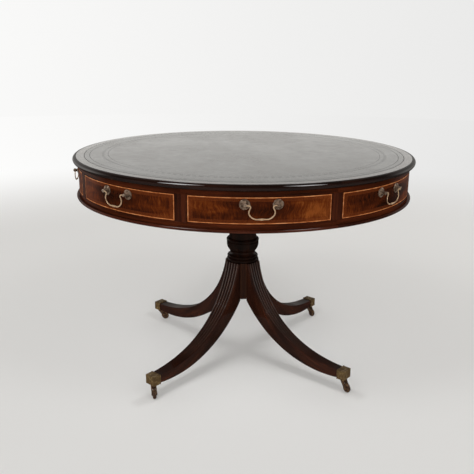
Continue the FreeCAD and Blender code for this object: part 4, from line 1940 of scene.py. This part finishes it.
@dataclass(frozen=True)
class Studio:
    """The pale sweep under and behind the table, and the light on it."""

    floor_radius: float = 9.0
    fade: tuple[float, float] = (1900.0, 4200.0)
    shaded: float = 0.92
    fill_height: float = 0.55
    fill_power: float = 2.0
    fill_size: float = 0.15
    paper: float = 0.81
    paper_rise: float = 0.1
    paper_run: tuple[float, float] = (-900.0, 1400.0)
    paper_to_right: float = 0.02
    paper_tint: tuple[float, float] = (0.997, 0.985)
    paper_in_gloss: float = 0.15
    paper_rough: float = 0.9
    fibre: Size = (30, 30, 30)
    fibre_rough: float = 0.05
    wall: float = 0.90
    wall_to_right: float = -0.18
    wall_tint: tuple[float, float] = (0.998, 0.99)
    far_rise: float = 0.13
    gloss_turn: tuple[float, float] = (0.1, 0.6)
    gloss_front: float = 0.07
    gloss_gain: float = 0.32
    gloss_fall: float = 2.3
    gloss_least: float = 0.1
    gloss_tint: tuple[float, float] = (0.012, 0.045)
    dome_light: Colour = shade(255, 253, 250)
    dome_crown: float = 0.3
    dome_foot: float = 2.6
    dome_level: float = 1.12
    dome_to_sides: float = -0.42
    dome_to_right: float = -0.1
    dome_to_back: float = -0.35
    lamps: tuple[Softbox, ...] = (
        Softbox("left_softbox", -52.0, 47.0, 3.0, 0.8, 1.3, 16.0),
        Softbox("right_softbox", 41.0, 47.0, 3.0, 0.8, 1.1, 12.0),
    )

    def backdrop(self, shader: Shader, across: Signal, away: Signal, up: Value) -> Signal:
        """The backdrop's colour.

        Args:
            shader: The nodes in which it is worked out.
            across: The way to the right, as part of a level direction.
            away: The way to the back, likewise.
            up: The way upwards, likewise.

        Returns:
            A colour, brighter to the left and greyer towards the camera's side.
        """
        gloss = shader.node("ShaderNodeLightPath").output("Is Glossy Ray")
        behind = 1 - away.rise(*self.gloss_turn)
        level = (self.wall + across * self.wall_to_right) * (
            1 - gloss * (1 - self.gloss_front) * behind)
        fall = 1 + gloss * (self.gloss_gain - self.gloss_fall * (up * gloss))
        level = level * fall.math("MAXIMUM", self.gloss_least)
        green, blue = (level * (plain - gloss * less)
                       for plain, less in zip(self.wall_tint, self.gloss_tint))
        return shader.node("ShaderNodeCombineColor", {0: level, 1: green, 2: blue})

    def sky(self) -> None:
        """Sets the world: plain light on the table, the backdrop for the camera."""
        world = bpy.data.worlds.new("studio")
        bpy.context.scene.world = world
        shader = Shader(world)
        way = shader.node("ShaderNodeTexCoord").output("Generated")
        across, away, rise = shader.parts(way)
        up = rise.math("MAXIMUM", 0.0)
        height = self.dome_crown + (1 - up) ** 2 * self.dome_foot
        dome = height * (self.dome_level + abs(across) * self.dome_to_sides
                         + across * self.dome_to_right + away * self.dome_to_back)
        plain = shader.node("ShaderNodeBackground", {"Color": self.dome_light, "Strength": dome})
        drop = shader.node("ShaderNodeBackground", {
            "Color": self.backdrop(shader, across, away, up), "Strength": 1.0})
        both = shader.node("ShaderNodeMixShader", {0: self.seen(shader), 1: plain, 2: drop})
        shader.node("ShaderNodeOutputWorld", {"Surface": both})

    @staticmethod
    def seen(shader: Shader) -> Signal:
        """One for rays from the camera, from gloss and through glass.

        Args:
            shader: The nodes in which it is worked out.

        Returns:
            One or zero.
        """
        path = shader.node("ShaderNodeLightPath")
        seen = path + path.output("Is Glossy Ray") + path.output("Is Transmission Ray")
        return seen.math("MINIMUM", 1.0)

    def floor(self) -> None:
        """Lays the floor, which fades into the backdrop."""
        mesh = bmesh.new()
        bmesh.ops.create_circle(mesh, cap_ends=True, segments=96, radius=self.floor_radius)
        floor = placed("studio_floor", stored(mesh, "studio_floor"))
        shader = Shader.named("studio_paper")
        place = shader.place()
        x, y, _ = shader.parts(place)
        radius = x.out(y)
        path = shader.node("ShaderNodeLightPath")
        level = self.paper + y.rise(*self.paper_run) * self.paper_rise
        level = level + x * MM * self.paper_to_right
        level = level * (1 - path.output("Is Glossy Ray") * (1 - self.paper_in_gloss))
        green, blue = self.paper_tint
        paper = shader.node("ShaderNodeCombineColor", {
            0: level, 1: level * green, 2: level * blue})
        fibres = shader.noise(place, self.fibre, 3)
        lit = shader.node("ShaderNodeBsdfPrincipled", {
            "Base Color": paper, "Roughness": self.paper_rough + fibres * self.fibre_rough,
            "Specular IOR Level": 0.0})
        plain = shader.node("ShaderNodeEmission", {"Color": paper, "Strength": path})
        near = shader.node("ShaderNodeMixShader", {0: self.shaded, 1: plain, 2: lit})
        far = shader.node("ShaderNodeEmission", {
            "Color": self.backdrop(shader, x / radius, y / radius, self.far_rise),
            "Strength": self.seen(shader)})
        both = shader.node("ShaderNodeMixShader", {
            0: radius.rise(*self.fade), 1: near, 2: far})
        shader.node("ShaderNodeOutputMaterial", {"Surface": both})
        floor.data.materials.append(shader.owner)
        self.fill(floor)

    def fill(self, floor: bpy.types.Object) -> None:
        """Hangs a small lamp under the drum that lights the floor alone, between the legs.

        Args:
            floor: The floor.
        """
        light = bpy.data.lights.new("floor_fill", "AREA")
        light.shape, light.size, light.energy = "DISK", self.fill_size, self.fill_power
        lamp = placed("floor_fill", light)
        lamp.location = (0, 0, self.fill_height)
        lit = bpy.data.collections.new("lit_by_fill")
        lit.objects.link(floor)
        lamp.light_linking.receiver_collection = lit

    def build(self) -> None:
        """Makes the studio."""
        self.sky()
        self.floor()
        for lamp in self.lamps:
            lamp.build()
        bpy.context.scene.view_settings.view_transform = "Standard"
        LOG.info("studio: floor, backdrop and %d lamps", len(self.lamps))


@dataclass(frozen=True)
class Viewpoint:
    """The place and lens of the photograph's camera."""

    place: tuple[float, float, float] = (-0.1912, -2.1857, 1.0942)
    heading: float = 4.459
    pitch: float = 16.52
    roll: float = 0.497
    lens: float = 48.406
    sensor: float = 36.0

    def build(self) -> None:
        """Sets up the camera."""
        data = bpy.data.cameras.new("viewpoint")
        data.lens, data.sensor_width = self.lens, self.sensor
        camera = placed("viewpoint", data)
        turn = turned(-self.heading) @ turned(90 - self.pitch, "X") @ turned(self.roll)
        camera.matrix_world = Matrix.Translation(self.place) @ turn
        bpy.context.scene.camera = camera


def main() -> None:
    """Builds the table, the studio and the camera."""
    logging.basicConfig(level=logging.INFO, format="%(message)s")
    plan, made = Plan.read(), {}
    kinds = (TableTop, Frieze, Fronts, Handles, Column, Leg, ToeCaps)
    assemblies = [*(kind(plan, made) for kind in kinds),
                  *(Castor(plan, made, name) for name in LEG_NAMES), Carcass(plan, made)]
    for assembly in assemblies:
        assembly.build()
    Studio().build()
    Viewpoint().build()


if __name__ == "__main__":
    main()
